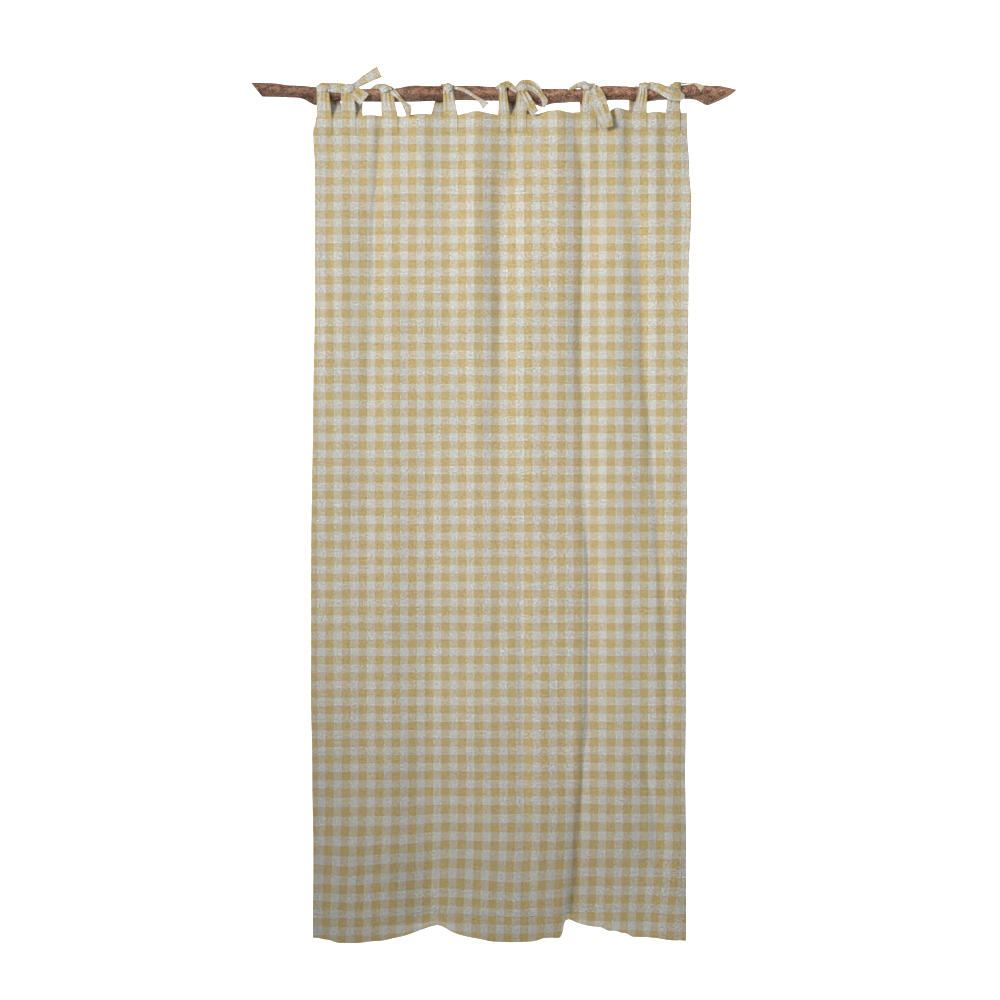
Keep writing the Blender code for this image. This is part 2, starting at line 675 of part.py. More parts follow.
def make_back_ribbon(name, tie, panel, collection, material):
    """Up from the heading's back, behind the branch and over it, to the far side of the knot."""
    strap, knot = tie.back, tie.knot
    seat = knot.half_width + CLOTH_GAP
    end = knot.angle + math.degrees(seat / (branch_radius(knot.x, knot.angle) + RIBBON_THICK))
    free = [first_on_branch(strap, MEETS_BACK)] + [
        on_branch(strap.top_x + (knot.x - strap.top_x) * stop.moved,
                  HIGH_ON_BACK + (end - HIGH_ON_BACK) * stop.turned, strap.top_width * stop.width)
        for stop in BACK_STOPS
    ]
    return add_strap(f"{name}_back", sewn_rows(strap, BACK, panel), free, collection, material)


def new_collection(name):
    collection = bpy.data.collections.new(name)
    bpy.context.scene.collection.children.link(collection)
    return collection


def main():
    for obj in list(bpy.data.objects):
        bpy.data.objects.remove(obj)
    collection = new_collection("gingham_curtain")
    helpers = new_collection("joined_pieces")
    panel = panel_points()
    gingham = make_material("gingham_cloth", CLOTH_COLOUR, CLOTH_ROUGHNESS)
    add_sheet("curtain_panel", panel, collection, gingham)
    make_branch(collection, make_material("bark", BARK_COLOUR, BARK_ROUGHNESS))
    for name, tie in TIES.items():
        front_material = make_material(f"{name}_front_cloth", TIE_COLOUR, CLOTH_ROUGHNESS)
        make_front_ribbon(name, tie, panel, collection, helpers, front_material)
        back_material = make_material(f"{name}_back_cloth", TIE_COLOUR, CLOTH_ROUGHNESS)
        make_back_ribbon(name, tie, panel, collection, back_material)


main()
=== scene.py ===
import math
from collections import namedtuple

import bmesh
import bpy
import numpy as np
from mathutils import Matrix, Vector


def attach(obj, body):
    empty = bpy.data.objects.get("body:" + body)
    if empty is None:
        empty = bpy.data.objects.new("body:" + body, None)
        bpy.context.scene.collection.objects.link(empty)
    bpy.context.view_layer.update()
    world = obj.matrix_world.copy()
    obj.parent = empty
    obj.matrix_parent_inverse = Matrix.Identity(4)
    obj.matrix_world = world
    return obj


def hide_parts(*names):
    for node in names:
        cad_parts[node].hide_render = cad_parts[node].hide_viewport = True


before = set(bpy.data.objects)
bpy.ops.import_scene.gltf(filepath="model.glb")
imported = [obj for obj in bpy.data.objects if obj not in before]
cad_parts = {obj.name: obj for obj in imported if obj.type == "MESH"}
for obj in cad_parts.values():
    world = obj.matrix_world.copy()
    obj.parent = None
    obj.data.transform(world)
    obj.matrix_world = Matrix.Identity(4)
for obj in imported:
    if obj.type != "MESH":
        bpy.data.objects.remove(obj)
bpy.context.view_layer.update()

# The cloth's own sizes, the same as in the part's source.
DROP = 2.134
HALF_WIDTH = 0.485
TOP_EDGE = -0.054
TOP_TILT = 0.0117
SEWN_DEPTH = 0.046
EDGE_REACH = 0.10
FOLLOW_REACH = 0.10
CAD_CLOTH_THICK = 0.002
CAD_RIBBON_THICK = 0.0016
CLOTH_GAP = 0.0008
BARK_GAP = 0.0012
FRONT, BACK = -1, 1
MEETS_FRONT = -18
MEETS_BACK = 198
HIGH_ON_BACK = 162

BranchStation = namedtuple("BranchStation", "x depth height radius")
BRANCH = [
    BranchStation(-0.670, 0.004, 0.0145, 0.0160),
    BranchStation(-0.596, 0.003, 0.0114, 0.0174),
    BranchStation(-0.537, 0.001, 0.0065, 0.0152),
    BranchStation(-0.475, 0.000, 0.0020, 0.0155),
    BranchStation(-0.402, -0.002, -0.0020, 0.0160),
    BranchStation(-0.347, -0.003, -0.0041, 0.0158),
    BranchStation(-0.277, -0.002, -0.0034, 0.0166),
    BranchStation(-0.223, -0.001, 0.0010, 0.0204),
    BranchStation(-0.170, 0.000, 0.0014, 0.0186),
    BranchStation(-0.117, 0.001, 0.0036, 0.0182),
    BranchStation(-0.078, 0.002, 0.0039, 0.0184),
    BranchStation(-0.005, 0.002, 0.0016, 0.0172),
    BranchStation(0.070, 0.001, -0.0035, 0.0180),
    BranchStation(0.130, 0.000, -0.0057, 0.0184),
    BranchStation(0.212, -0.002, -0.0049, 0.0158),
    BranchStation(0.275, -0.002, 0.0013, 0.0178),
    BranchStation(0.316, -0.001, 0.0021, 0.0170),
    BranchStation(0.376, 0.000, -0.0030, 0.0162),
    BranchStation(0.428, 0.001, 0.0029, 0.0166),
    BranchStation(0.467, 0.002, 0.0057, 0.0169),
    BranchStation(0.506, 0.002, 0.0066, 0.0180),
    BranchStation(0.557, 0.001, 0.0004, 0.0205),
    BranchStation(0.640, -0.001, -0.0100, 0.0165),
]
Burl = namedtuple("Burl", "x angle reach spread height")
BURLS = [
    Burl(-0.476, -90, 0.026, 34, 0.0160),
    Burl(0.108, -95, 0.018, 30, 0.0095),
    Burl(0.375, -80, 0.014, 30, 0.0030),
    Burl(0.535, -90, 0.022, 36, 0.0110),
]
EndCut = namedtuple("EndCut", "x z normal_x normal_z")
LEFT_CUT = EndCut(-0.632, 0.0128, -0.774, -0.633)
RIGHT_CUT = EndCut(0.585, -0.005, 0.463, -0.886)

Bow = namedtuple("Bow", "x reach forward lift fade")
BOWS = [
    Bow(-0.335, 0.022, 0.006, 0.002, 0.10),
    Bow(-0.205, 0.036, 0.010, 0.002, 0.12),
    Bow(-0.060, 0.034, 0.016, 0.005, 0.14),
    Bow(0.153, 0.034, 0.016, 0.005, 0.12),
    Bow(0.304, 0.020, 0.013, 0.012, 0.07),
    Bow(0.405, 0.022, 0.006, 0.001, 0.10),
]
EdgeLift = namedtuple("EdgeLift", "x reach lift")
EDGE_LIFTS = [
    EdgeLift(-0.250, 0.030, -0.0020),
    EdgeLift(0.122, 0.016, 0.0040),
    EdgeLift(0.170, 0.012, -0.0020),
    EdgeLift(0.204, 0.012, 0.0035),
    EdgeLift(0.331, 0.010, 0.0065),
]
EdgeRow = namedtuple("EdgeRow", "down left right")
EDGES = [
    EdgeRow(0.00, 0.008, 0.000),
    EdgeRow(0.02, 0.000, 0.001),
    EdgeRow(0.07, 0.005, 0.006),
    EdgeRow(0.11, 0.005, 0.011),
    EdgeRow(0.20, 0.005, 0.004),
    EdgeRow(0.36, 0.000, 0.001),
    EdgeRow(0.52, -0.005, 0.001),
    EdgeRow(0.70, -0.005, -0.002),
    EdgeRow(0.80, -0.001, -0.005),
    EdgeRow(0.90, 0.002, -0.002),
    EdgeRow(1.00, 0.001, -0.002),
]
FoldRow = namedtuple("FoldRow", "down x left right depth")
Fold = namedtuple("Fold", "softness rows")
LEFT_VALLEY = Fold(0.25, [
    FoldRow(0.00, -0.317, 0.014, 0.012, 0.002),
    FoldRow(0.07, -0.322, 0.014, 0.020, 0.007),
    FoldRow(0.15, -0.329, 0.016, 0.030, 0.008),
    FoldRow(0.28, -0.334, 0.020, 0.040, 0.005),
    FoldRow(0.45, -0.336, 0.030, 0.050, 0.000),
])
CENTRE_VALLEY = Fold(0.4, [
    FoldRow(0.00, 0.034, 0.008, 0.008, 0.001),
    FoldRow(0.05, 0.028, 0.020, 0.020, 0.008),
    FoldRow(0.10, 0.013, 0.030, 0.030, 0.014),
    FoldRow(0.22, 0.000, 0.022, 0.040, 0.013),
    FoldRow(0.35, -0.004, 0.030, 0.050, 0.007),
    FoldRow(0.50, 0.000, 0.040, 0.050, 0.000),
])
MAIN_FOLD = Fold(0.2, [
    FoldRow(0.00, 0.190, 0.010, 0.010, 0.001),
    FoldRow(0.08, 0.212, 0.012, 0.020, 0.004),
    FoldRow(0.30, 0.207, 0.014, 0.030, 0.008),
    FoldRow(0.45, 0.212, 0.020, 0.040, 0.006),
    FoldRow(0.56, 0.232, 0.014, 0.040, 0.009),
    FoldRow(0.70, 0.227, 0.012, 0.050, 0.010),
    FoldRow(0.80, 0.214, 0.011, 0.060, 0.011),
    FoldRow(0.90, 0.196, 0.010, 0.080, 0.016),
    FoldRow(0.98, 0.177, 0.010, 0.095, 0.040),
    FoldRow(1.00, 0.172, 0.010, 0.108, 0.068),
])
RIGHT_VALLEY = Fold(0.3, [
    FoldRow(0.08, 0.355, 0.020, 0.020, 0.000),
    FoldRow(0.20, 0.366, 0.018, 0.026, 0.008),
    FoldRow(0.30, 0.373, 0.018, 0.030, 0.012),
    FoldRow(0.42, 0.395, 0.020, 0.030, 0.012),
    FoldRow(0.52, 0.410, 0.018, 0.020, 0.011),
    FoldRow(0.62, 0.432, 0.018, 0.018, 0.009),
    FoldRow(0.74, 0.430, 0.020, 0.020, 0.005),
    FoldRow(0.88, 0.430, 0.020, 0.020, 0.000),
])
LOWER_CREASE = Fold(0.25, [
    FoldRow(0.48, 0.050, 0.014, 0.020, 0.000),
    FoldRow(0.58, 0.054, 0.014, 0.020, 0.006),
    FoldRow(0.75, 0.054, 0.014, 0.024, 0.009),
    FoldRow(0.90, 0.060, 0.016, 0.030, 0.011),
    FoldRow(1.00, 0.064, 0.020, 0.030, 0.006),
])
HEM_VALLEY = Fold(4.0, [
    FoldRow(0.48, -0.200, 0.040, 0.040, 0.000),
    FoldRow(0.70, -0.208, 0.040, 0.040, 0.005),
    FoldRow(0.88, -0.194, 0.038, 0.034, 0.010),
    FoldRow(0.95, -0.182, 0.037, 0.032, 0.030),
    FoldRow(0.98, -0.178, 0.036, 0.031, 0.038),
    FoldRow(1.00, -0.176, 0.036, 0.031, 0.064),
])
SHORT_CREASE = Fold(0.25, [
    FoldRow(0.74, 0.378, 0.012, 0.014, 0.000),
    FoldRow(0.81, 0.386, 0.012, 0.014, 0.005),
    FoldRow(0.88, 0.402, 0.012, 0.018, 0.006),
    FoldRow(0.96, 0.412, 0.012, 0.020, 0.000),
])
LEFT_RIDGE = Fold(4.0, [
    FoldRow(0.74, -0.370, 0.060, 0.050, 0.000),
    FoldRow(0.86, -0.365, 0.060, 0.050, -0.022),
    FoldRow(1.00, -0.360, 0.060, 0.050, -0.030),
])
MIDDLE_RIDGE = Fold(4.0, [
    FoldRow(0.70, 0.080, 0.050, 0.040, 0.000),
    FoldRow(0.88, 0.080, 0.050, 0.036, -0.010),
    FoldRow(1.00, 0.060, 0.050, 0.036, -0.014),
])
TURNED_EDGE = Fold(1.0, [
    FoldRow(0.50, 0.486, 0.014, 0.010, 0.000),
    FoldRow(0.58, 0.486, 0.014, 0.010, 0.009),
    FoldRow(0.66, 0.486, 0.014, 0.010, 0.009),
    FoldRow(0.74, 0.486, 0.014, 0.010, 0.000),
])
FOLDS = [
    LEFT_VALLEY, CENTRE_VALLEY, MAIN_FOLD, RIGHT_VALLEY, LOWER_CREASE, HEM_VALLEY,
    SHORT_CREASE, LEFT_RIDGE, MIDDLE_RIDGE, TURNED_EDGE,
]
WAVES_BEGIN, WAVES_FULL = 0.02, 0.16
Wave = namedtuple("Wave", "height length start drift")
WAVES = [
    Wave(0.0024, 0.190, 0.6, 1.1),
    Wave(0.0016, 0.117, 2.1, -1.7),
    Wave(0.0030, 0.430, 4.0, 0.8),
]

Strap = namedtuple("Strap", "sewn_x sewn_width top_x top_width")
Knot = namedtuple("Knot", "x angle half_length half_width rise turn")
TailRow = namedtuple("TailRow", "x depth height width thick roll")
Tie = namedtuple("Tie", "front back knot tails")
TIES = {
    "tie_1": Tie(
        Strap(-0.455, 0.039, -0.456, 0.031),
        Strap(-0.424, 0.036, -0.446, 0.030),
        Knot(-0.4540, 16, 0.0195, 0.0130, 0.0072, 4),
        [[
            TailRow(-0.452, -0.02, 0.011, 0.018, 0.005, 15),
            TailRow(-0.438, -0.022, 0.009, 0.025, 0.005, 8),
            TailRow(-0.42, -0.022, 0.0075, 0.026, 0.004, 4),
            TailRow(-0.3985, -0.021, 0.007, 0.026, 0.004, 4),
        ]],
    ),
    "tie_2": Tie(
        Strap(-0.393, 0.039, -0.391, 0.034),
        Strap(-0.374, 0.036, -0.376, 0.030),
        Knot(-0.3880, 15, 0.0170, 0.0130, 0.0072, -6),
        [[
            TailRow(-0.388, -0.014, 0.012, 0.014, 0.004, 0),
            TailRow(-0.368, -0.016, 0.019, 0.019, 0.003, 10),
            TailRow(-0.341, -0.019, 0.034, 0.027, 0.0016, 12),
            TailRow(-0.3095, -0.023, 0.049, 0.033, 0.0016, 8),
        ], [
            TailRow(-0.387, -0.022, 0.009, 0.018, 0.004, 0),
            TailRow(-0.366, -0.027, -0.01, 0.032, 0.003, 0),
            TailRow(-0.3475, -0.028, -0.025, 0.037, 0.003, -4),
        ]],
    ),
    "tie_3": Tie(
        Strap(-0.285, 0.041, -0.292, 0.031),
        Strap(-0.290, 0.036, -0.298, 0.030),
        Knot(-0.2960, 19, 0.0150, 0.0130, 0.0072, 5),
        [[
            TailRow(-0.286, -0.016, 0.01, 0.013, 0.004, 0),
            TailRow(-0.272, -0.024, -0.006, 0.015, 0.003, 10),
            TailRow(-0.254, -0.024, -0.027, 0.011, 0.003, 25),
            TailRow(-0.238, -0.019, -0.043, 0.021, 0.0022, 10),
            TailRow(-0.236, -0.018, -0.063, 0.012, 0.0022, 0),
        ], [
            TailRow(-0.298, -0.01, 0.013, 0.018, 0.004, 10),
            TailRow(-0.318, -0.012, 0.012, 0.016, 0.003, 10),
            TailRow(-0.334, -0.015, 0.006, 0.006, 0.003, 10),
        ]],
    ),
    "tie_4": Tie(
        Strap(-0.128, 0.037, -0.134, 0.025),
        Strap(-0.163, 0.032, -0.143, 0.026),
        Knot(-0.1330, 10, 0.0125, 0.0125, 0.0065, 0),
        [[
            TailRow(-0.13, -0.014, 0.014, 0.01, 0.004, 0),
            TailRow(-0.112, -0.019, 0.007, 0.01, 0.003, 15),
            TailRow(-0.0885, -0.023, -0.0025, 0.011, 0.003, 20),
            TailRow(-0.056, -0.027, -0.0235, 0.01, 0.003, 10),
            TailRow(-0.0365, -0.028, -0.0415, 0.024, 0.0018, 0),
        ]],
    ),
    "tie_5": Tie(
        Strap(0.010, 0.031, 0.007, 0.018),
        Strap(0.029, 0.034, 0.024, 0.030),
        Knot(0.0070, 18, 0.0115, 0.0120, 0.0065, 12),
        [[
            TailRow(-0.011, -0.0205, 0.007, 0.008, 0.004, 10),
            TailRow(0.006, -0.0225, 0.0135, 0.016, 0.004, 15),
            TailRow(0.0205, -0.0215, 0.0165, 0.018, 0.004, 15),
            TailRow(0.0325, -0.0215, 0.008, 0.017, 0.003, 15),
            TailRow(0.0455, -0.022, -0.001, 0.014, 0.003, 15),
        ]],
    ),
    "tie_6": Tie(
        Strap(0.054, 0.030, 0.058, 0.026),
        Strap(0.066, 0.036, 0.070, 0.028),
        Knot(0.0570, 27, 0.0150, 0.0130, 0.0070, -6),
        [[
            TailRow(0.05, -0.02, 0.006, 0.012, 0.004, 0),
            TailRow(0.0614, -0.0245, -0.0116, 0.023, 0.003, 0),
            TailRow(0.0787, -0.021, -0.0388, 0.024, 0.002, 0),
            TailRow(0.0915, -0.017, -0.0565, 0.021, 0.002, 0),
        ], [
            TailRow(0.044, -0.0225, 0.005, 0.016, 0.004, 10),
            TailRow(0.058, -0.024, 0.013, 0.029, 0.004, 15),
            TailRow(0.076, -0.0235, 0.012, 0.031, 0.003, 15),
            TailRow(0.092, -0.023, 0.004, 0.025, 0.003, 10),
            TailRow(0.105, -0.025, -0.013, 0.016, 0.003, 10),
            TailRow(0.115, -0.026, -0.028, 0.016, 0.002, 0),
            TailRow(0.112, -0.026, -0.044, 0.007, 0.002, 0),
        ]],
    ),
    "tie_7": Tie(
        Strap(0.230, 0.041, 0.231, 0.032),
        Strap(0.226, 0.036, 0.221, 0.030),
        Knot(0.2240, 38, 0.0140, 0.0130, 0.0072, 0),
        [[
            TailRow(0.236, -0.021, 0.009, 0.03, 0.006, 0),
            TailRow(0.246, -0.027, -0.012, 0.041, 0.0022, 0),
            TailRow(0.257, -0.028, -0.04, 0.04, 0.0022, 0),
            TailRow(0.268, -0.027, -0.069, 0.037, 0.0022, 0),
            TailRow(0.276, -0.028, -0.0965, 0.032, 0.0022, 0),
        ], [
            TailRow(0.224, -0.014, 0.018, 0.018, 0.004, 10),
            TailRow(0.211, -0.014, 0.0185, 0.016, 0.004, 10),
            TailRow(0.194, -0.015, 0.014, 0.012, 0.003, 10),
            TailRow(0.176, -0.017, 0.004, 0.006, 0.003, 10),
        ]],
    ),
    "tie_8": Tie(
        Strap(0.361, 0.038, 0.368, 0.022),
        Strap(0.350, 0.033, 0.356, 0.030),
        Knot(0.3740, 50, 0.0135, 0.0120, 0.0070, -8),
        [[
            TailRow(0.381, -0.016, 0.0185, 0.013, 0.004, -25),
            TailRow(0.4027, -0.023, 0.0095, 0.0215, 0.0022, -15),
            TailRow(0.4215, -0.027, -0.0015, 0.026, 0.0022, -5),
            TailRow(0.439, -0.028, -0.011, 0.029, 0.0022, 0),
            TailRow(0.457, -0.028, -0.0157, 0.029, 0.0022, 5),
            TailRow(0.474, -0.027, -0.0165, 0.013, 0.0022, 10),
        ]],
    ),
    "tie_9": Tie(
        Strap(0.448, 0.038, 0.450, 0.031),
        Strap(0.452, 0.036, 0.453, 0.030),
        Knot(0.4540, 22, 0.0115, 0.0105, 0.0065, 0),
        [[
            TailRow(0.46, -0.006, 0.025, 0.01, 0.004, -50),
            TailRow(0.484, -0.005, 0.0225, 0.008, 0.003, -50),
            TailRow(0.506, -0.012, 0.0185, 0.011, 0.003, -40),
            TailRow(0.523, -0.02, 0.006, 0.019, 0.002, -10),
        ]],
    ),
}
# Where each tail is cut from the checks: its middle's column and its first row, in repeats.
TAIL_CUTS = {
    "tie_1": [(0.35, 0.0)],
    "tie_2": [(0.50, 0.1), (0.10, 0.3)],
    "tie_3": [(0.30, -0.1), (0.10, 0.2)],
    "tie_4": [(0.42, 0.2)],
    "tie_5": [(0.10, 0.2)],
    "tie_6": [(0.10, -0.3), (0.20, 0.3)],
    "tie_7": [(0.35, 0.4), (0.30, 0.2)],
    "tie_8": [(0.15, 0.1)],
    "tie_9": [(0.05, 0.2)],
}
FrontStop = namedtuple("FrontStop", "angle width rise")
FRONT_STOPS = [FrontStop(0.25, 1.0, 0.0), FrontStop(0.75, 0.97, 0.9), FrontStop(1.30, 0.85, 1.3)]
BackStop = namedtuple("BackStop", "turned moved width")
BACK_STOPS = [BackStop(0.0, 0.0, 1.0), BackStop(0.5, 0.0, 0.85), BackStop(1.0, 0.5, 0.7)]

# The fine mesh of the panel: its columns, crowded at the creases, and the spacing of its rows.
FINE_COLUMNS = 234
Crowd = namedtuple("Crowd", "x reach share")
CROWDS = [
    Crowd(-0.485, 0.020, 1.2),
    Crowd(-0.322, 0.024, 0.9),
    Crowd(-0.195, 0.030, 0.5),
    Crowd(0.045, 0.030, 0.9),
    Crowd(0.195, 0.026, 2.4),
    Crowd(0.395, 0.040, 0.8),
    Crowd(0.485, 0.020, 1.2),
]
HEADING_ROWS, MIDDLE_ROWS, HEM_ROWS = 18, 170, 20
HEADING_ZONE, HEM_ZONE = 0.080, 0.100

# How thick the cloth shows, by the layers turned over at its edges.
PLAIN_THICK = 0.0011
SIDE_HEM, SIDE_THICK = 0.015, 0.0021
HEADING_HEM, HEADING_THICK = 0.048, 0.0025
BOTTOM_HEM, BOTTOM_THICK = 0.065, 0.0021
HEM_EASE = 0.003
RIBBON_THICK = 0.0010

# The checks: one repeat, where the first yellow column is, and how the rows spread near the hem.
# The rows hang level. They are told by how far they lie below the top edge's middle.
CHECK = 0.04289
FIRST_COLUMN = -0.4416
ColumnPush = namedtuple("ColumnPush", "x reach left start end")
COLUMN_PUSHES = [
    ColumnPush(0.000, 5.000, 0.0080, 0.85, 1.02),
    ColumnPush(0.050, 0.070, 0.0035, 0.86, 0.95),
    ColumnPush(0.480, 0.080, 0.0110, 0.89, 0.99),
    ColumnPush(-0.350, 0.140, 0.0036, 0.83, 0.89),
    ColumnPush(0.140, 0.060, 0.0022, 0.84, 0.90),
    ColumnPush(0.400, 0.060, 0.0045, 0.92, 0.98),
]
ROWS_LOWER = 0.0016
RowPush = namedtuple("RowPush", "x reach rows down spread")
ROW_PUSHES = [
    RowPush(-0.390, 0.075, -0.17, 0.925, 0.055),
    RowPush(-0.110, 0.070, 0.08, 0.905, 0.030),
    RowPush(0.040, 0.070, -0.14, 0.943, 0.035),
    RowPush(0.350, 0.170, 0.17, 0.943, 0.040),
    RowPush(0.320, 0.100, 0.06, 0.980, 0.030),
]
RowChart = namedtuple("RowChart", "below rows")
LEFT_ROWS = [
    RowChart(-0.300, -7.009),
    RowChart(1.755, 41.00),
    RowChart(2.003, 46.07),
    RowChart(2.134, 49.00),
    RowChart(2.200, 50.48),
]
RIGHT_ROWS = [
    RowChart(-0.300, -7.011),
    RowChart(1.780, 41.60),
    RowChart(1.906, 44.27),
    RowChart(2.010, 46.30),
    RowChart(2.114, 48.66),
    RowChart(2.200, 50.56),
]
CHART_TURNS = (-0.24, -0.12)
# The checks keep straight lines from the front: how much of a fold's sideways look they leave out.
STRAIGHTENED = 0.6
FRONT_DISTANCE, FRONT_HEIGHT = 2.8, -1.0528
THREADS = 34


def between(low, high, value):
    """How far value has gone from low to high, easing in and out, from 0 to 1."""
    share = np.clip((value - low) / (high - low), 0.0, 1.0)
    return share * share * (3.0 - 2.0 * share)


def read_table(rows, at):
    """The rows' values at these places, eased between neighbours, as arrays by column name."""
    values = np.array(rows, float)
    at = np.asarray(at, float)
    places = values[:, 0]
    index = np.clip(np.searchsorted(places, at, side="left") - 1, 0, len(rows) - 2)
    share = between(places[index], places[index + 1], at)
    columns = [values[index, c] + (values[index + 1, c] - values[index, c]) * share
               for c in range(values.shape[1])]
    return type(rows[0])(*columns)


def bell(offset):
    return np.exp(-offset * offset)


def branch_axis(x):
    station = read_table(BRANCH, x)
    return station.depth, station.height


def branch_radius(x, angle):
    radius = read_table(BRANCH, x).radius
    for burl in BURLS:
        turn = (angle - burl.angle + 180.0) % 360.0 - 180.0
        radius = radius + burl.height * np.exp(-((x - burl.x) / burl.reach) ** 2 - (turn / burl.spread) ** 2)
    return radius


def round_branch(x, angle, above):
    """Points at these angles round the branch and this far above its bark."""
    x, angle = np.broadcast_arrays(np.asarray(x, float), np.asarray(angle, float))
    depth, height = branch_axis(x)
    reach = branch_radius(x, angle) + above
    turn = np.radians(angle)
    return np.stack([x, depth - reach * np.cos(turn), height + reach * np.sin(turn)], axis=-1)


def fold_share(offset, left, right, softness):
    reach = np.where(offset < 0, left, right)
    return np.exp(softness - np.sqrt((offset / reach) ** 2 + softness ** 2))


def cloth_depth(x, down):
    """How far back the cloth lies, from its place across and its share of the drop."""
    depth = np.zeros(np.broadcast(x, down).shape)
    for bow in BOWS:
        depth = depth - bow.forward * np.exp(-down / bow.fade - ((x - bow.x) / bow.reach) ** 2)
    for fold in FOLDS:
        row = read_table(fold.rows, down)
        depth = depth + row.depth * fold_share(x - row.x, row.left, row.right, fold.softness)
    settle = between(WAVES_BEGIN, WAVES_FULL, down)
    for wave in WAVES:
        phase = 2.0 * np.pi * x / wave.length + wave.start + wave.drift * down
        depth = depth + settle * wave.height * np.sin(phase)
    return depth


def cloth_top(x):
    lift = sum(bow.lift * bell((x - bow.x) / bow.reach) for bow in BOWS)
    lift = lift + sum(more.lift * bell((x - more.x) / more.reach) for more in EDGE_LIFTS)
    return TOP_EDGE + TOP_TILT * x + lift


def cloth_across(x, down):
    row = read_table(EDGES, down)
    start = MAIN_FOLD.rows[0].x
    drift = read_table(MAIN_FOLD.rows, down).x - start
    return (x + row.left * bell((x + HALF_WIDTH) / EDGE_REACH)
            + row.right * bell((HALF_WIDTH - x) / EDGE_REACH)
            + drift * bell((x - start) / FOLLOW_REACH))


# Short soft pulls run down from the ties, and the seams pucker the cloth a little.
Pull = namedtuple("Pull", "x reach forward fade lean")
PULLS = [
    Pull(-0.475, 0.010, 0.0022, 0.16, 0.02),
    Pull(-0.432, 0.009, -0.0020, 0.12, -0.03),
    Pull(-0.398, 0.010, 0.0024, 0.18, 0.02),
    Pull(-0.352, 0.010, -0.0018, 0.10, 0.03),
    Pull(-0.262, 0.011, 0.0020, 0.14, 0.05),
    Pull(-0.150, 0.012, -0.0024, 0.16, -0.04),
    Pull(-0.108, 0.010, 0.0020, 0.20, 0.03),
    Pull(-0.012, 0.010, 0.0022, 0.14, -0.03),
    Pull(0.078, 0.010, 0.0024, 0.20, 0.03),
    Pull(0.205, 0.009, -0.0018, 0.12, -0.04),
    Pull(0.254, 0.010, 0.0026, 0.16, 0.05),
    Pull(0.338, 0.010, -0.0022, 0.12, -0.03),
    Pull(0.385, 0.010, 0.0020, 0.18, 0.02),
    Pull(0.428, 0.009, -0.0018, 0.12, -0.02),
    Pull(0.470, 0.009, 0.0020, 0.14, 0.00),
]
# Faint creases and ripples all over: a height, a wavelength across, one down, and a start.
Ripple = namedtuple("Ripple", "height across down start")
RIPPLES = [
    Ripple(0.00042, 0.083, 0.61, 0.4),
    Ripple(0.00036, 0.061, -0.47, 2.3),
    Ripple(0.00030, 0.047, 0.39, 5.1),
    Ripple(0.00026, 0.139, -0.21, 1.2),
    Ripple(0.00022, 0.230, 0.117, 3.3),
    Ripple(0.00016, -0.310, 0.083, 0.9),
]


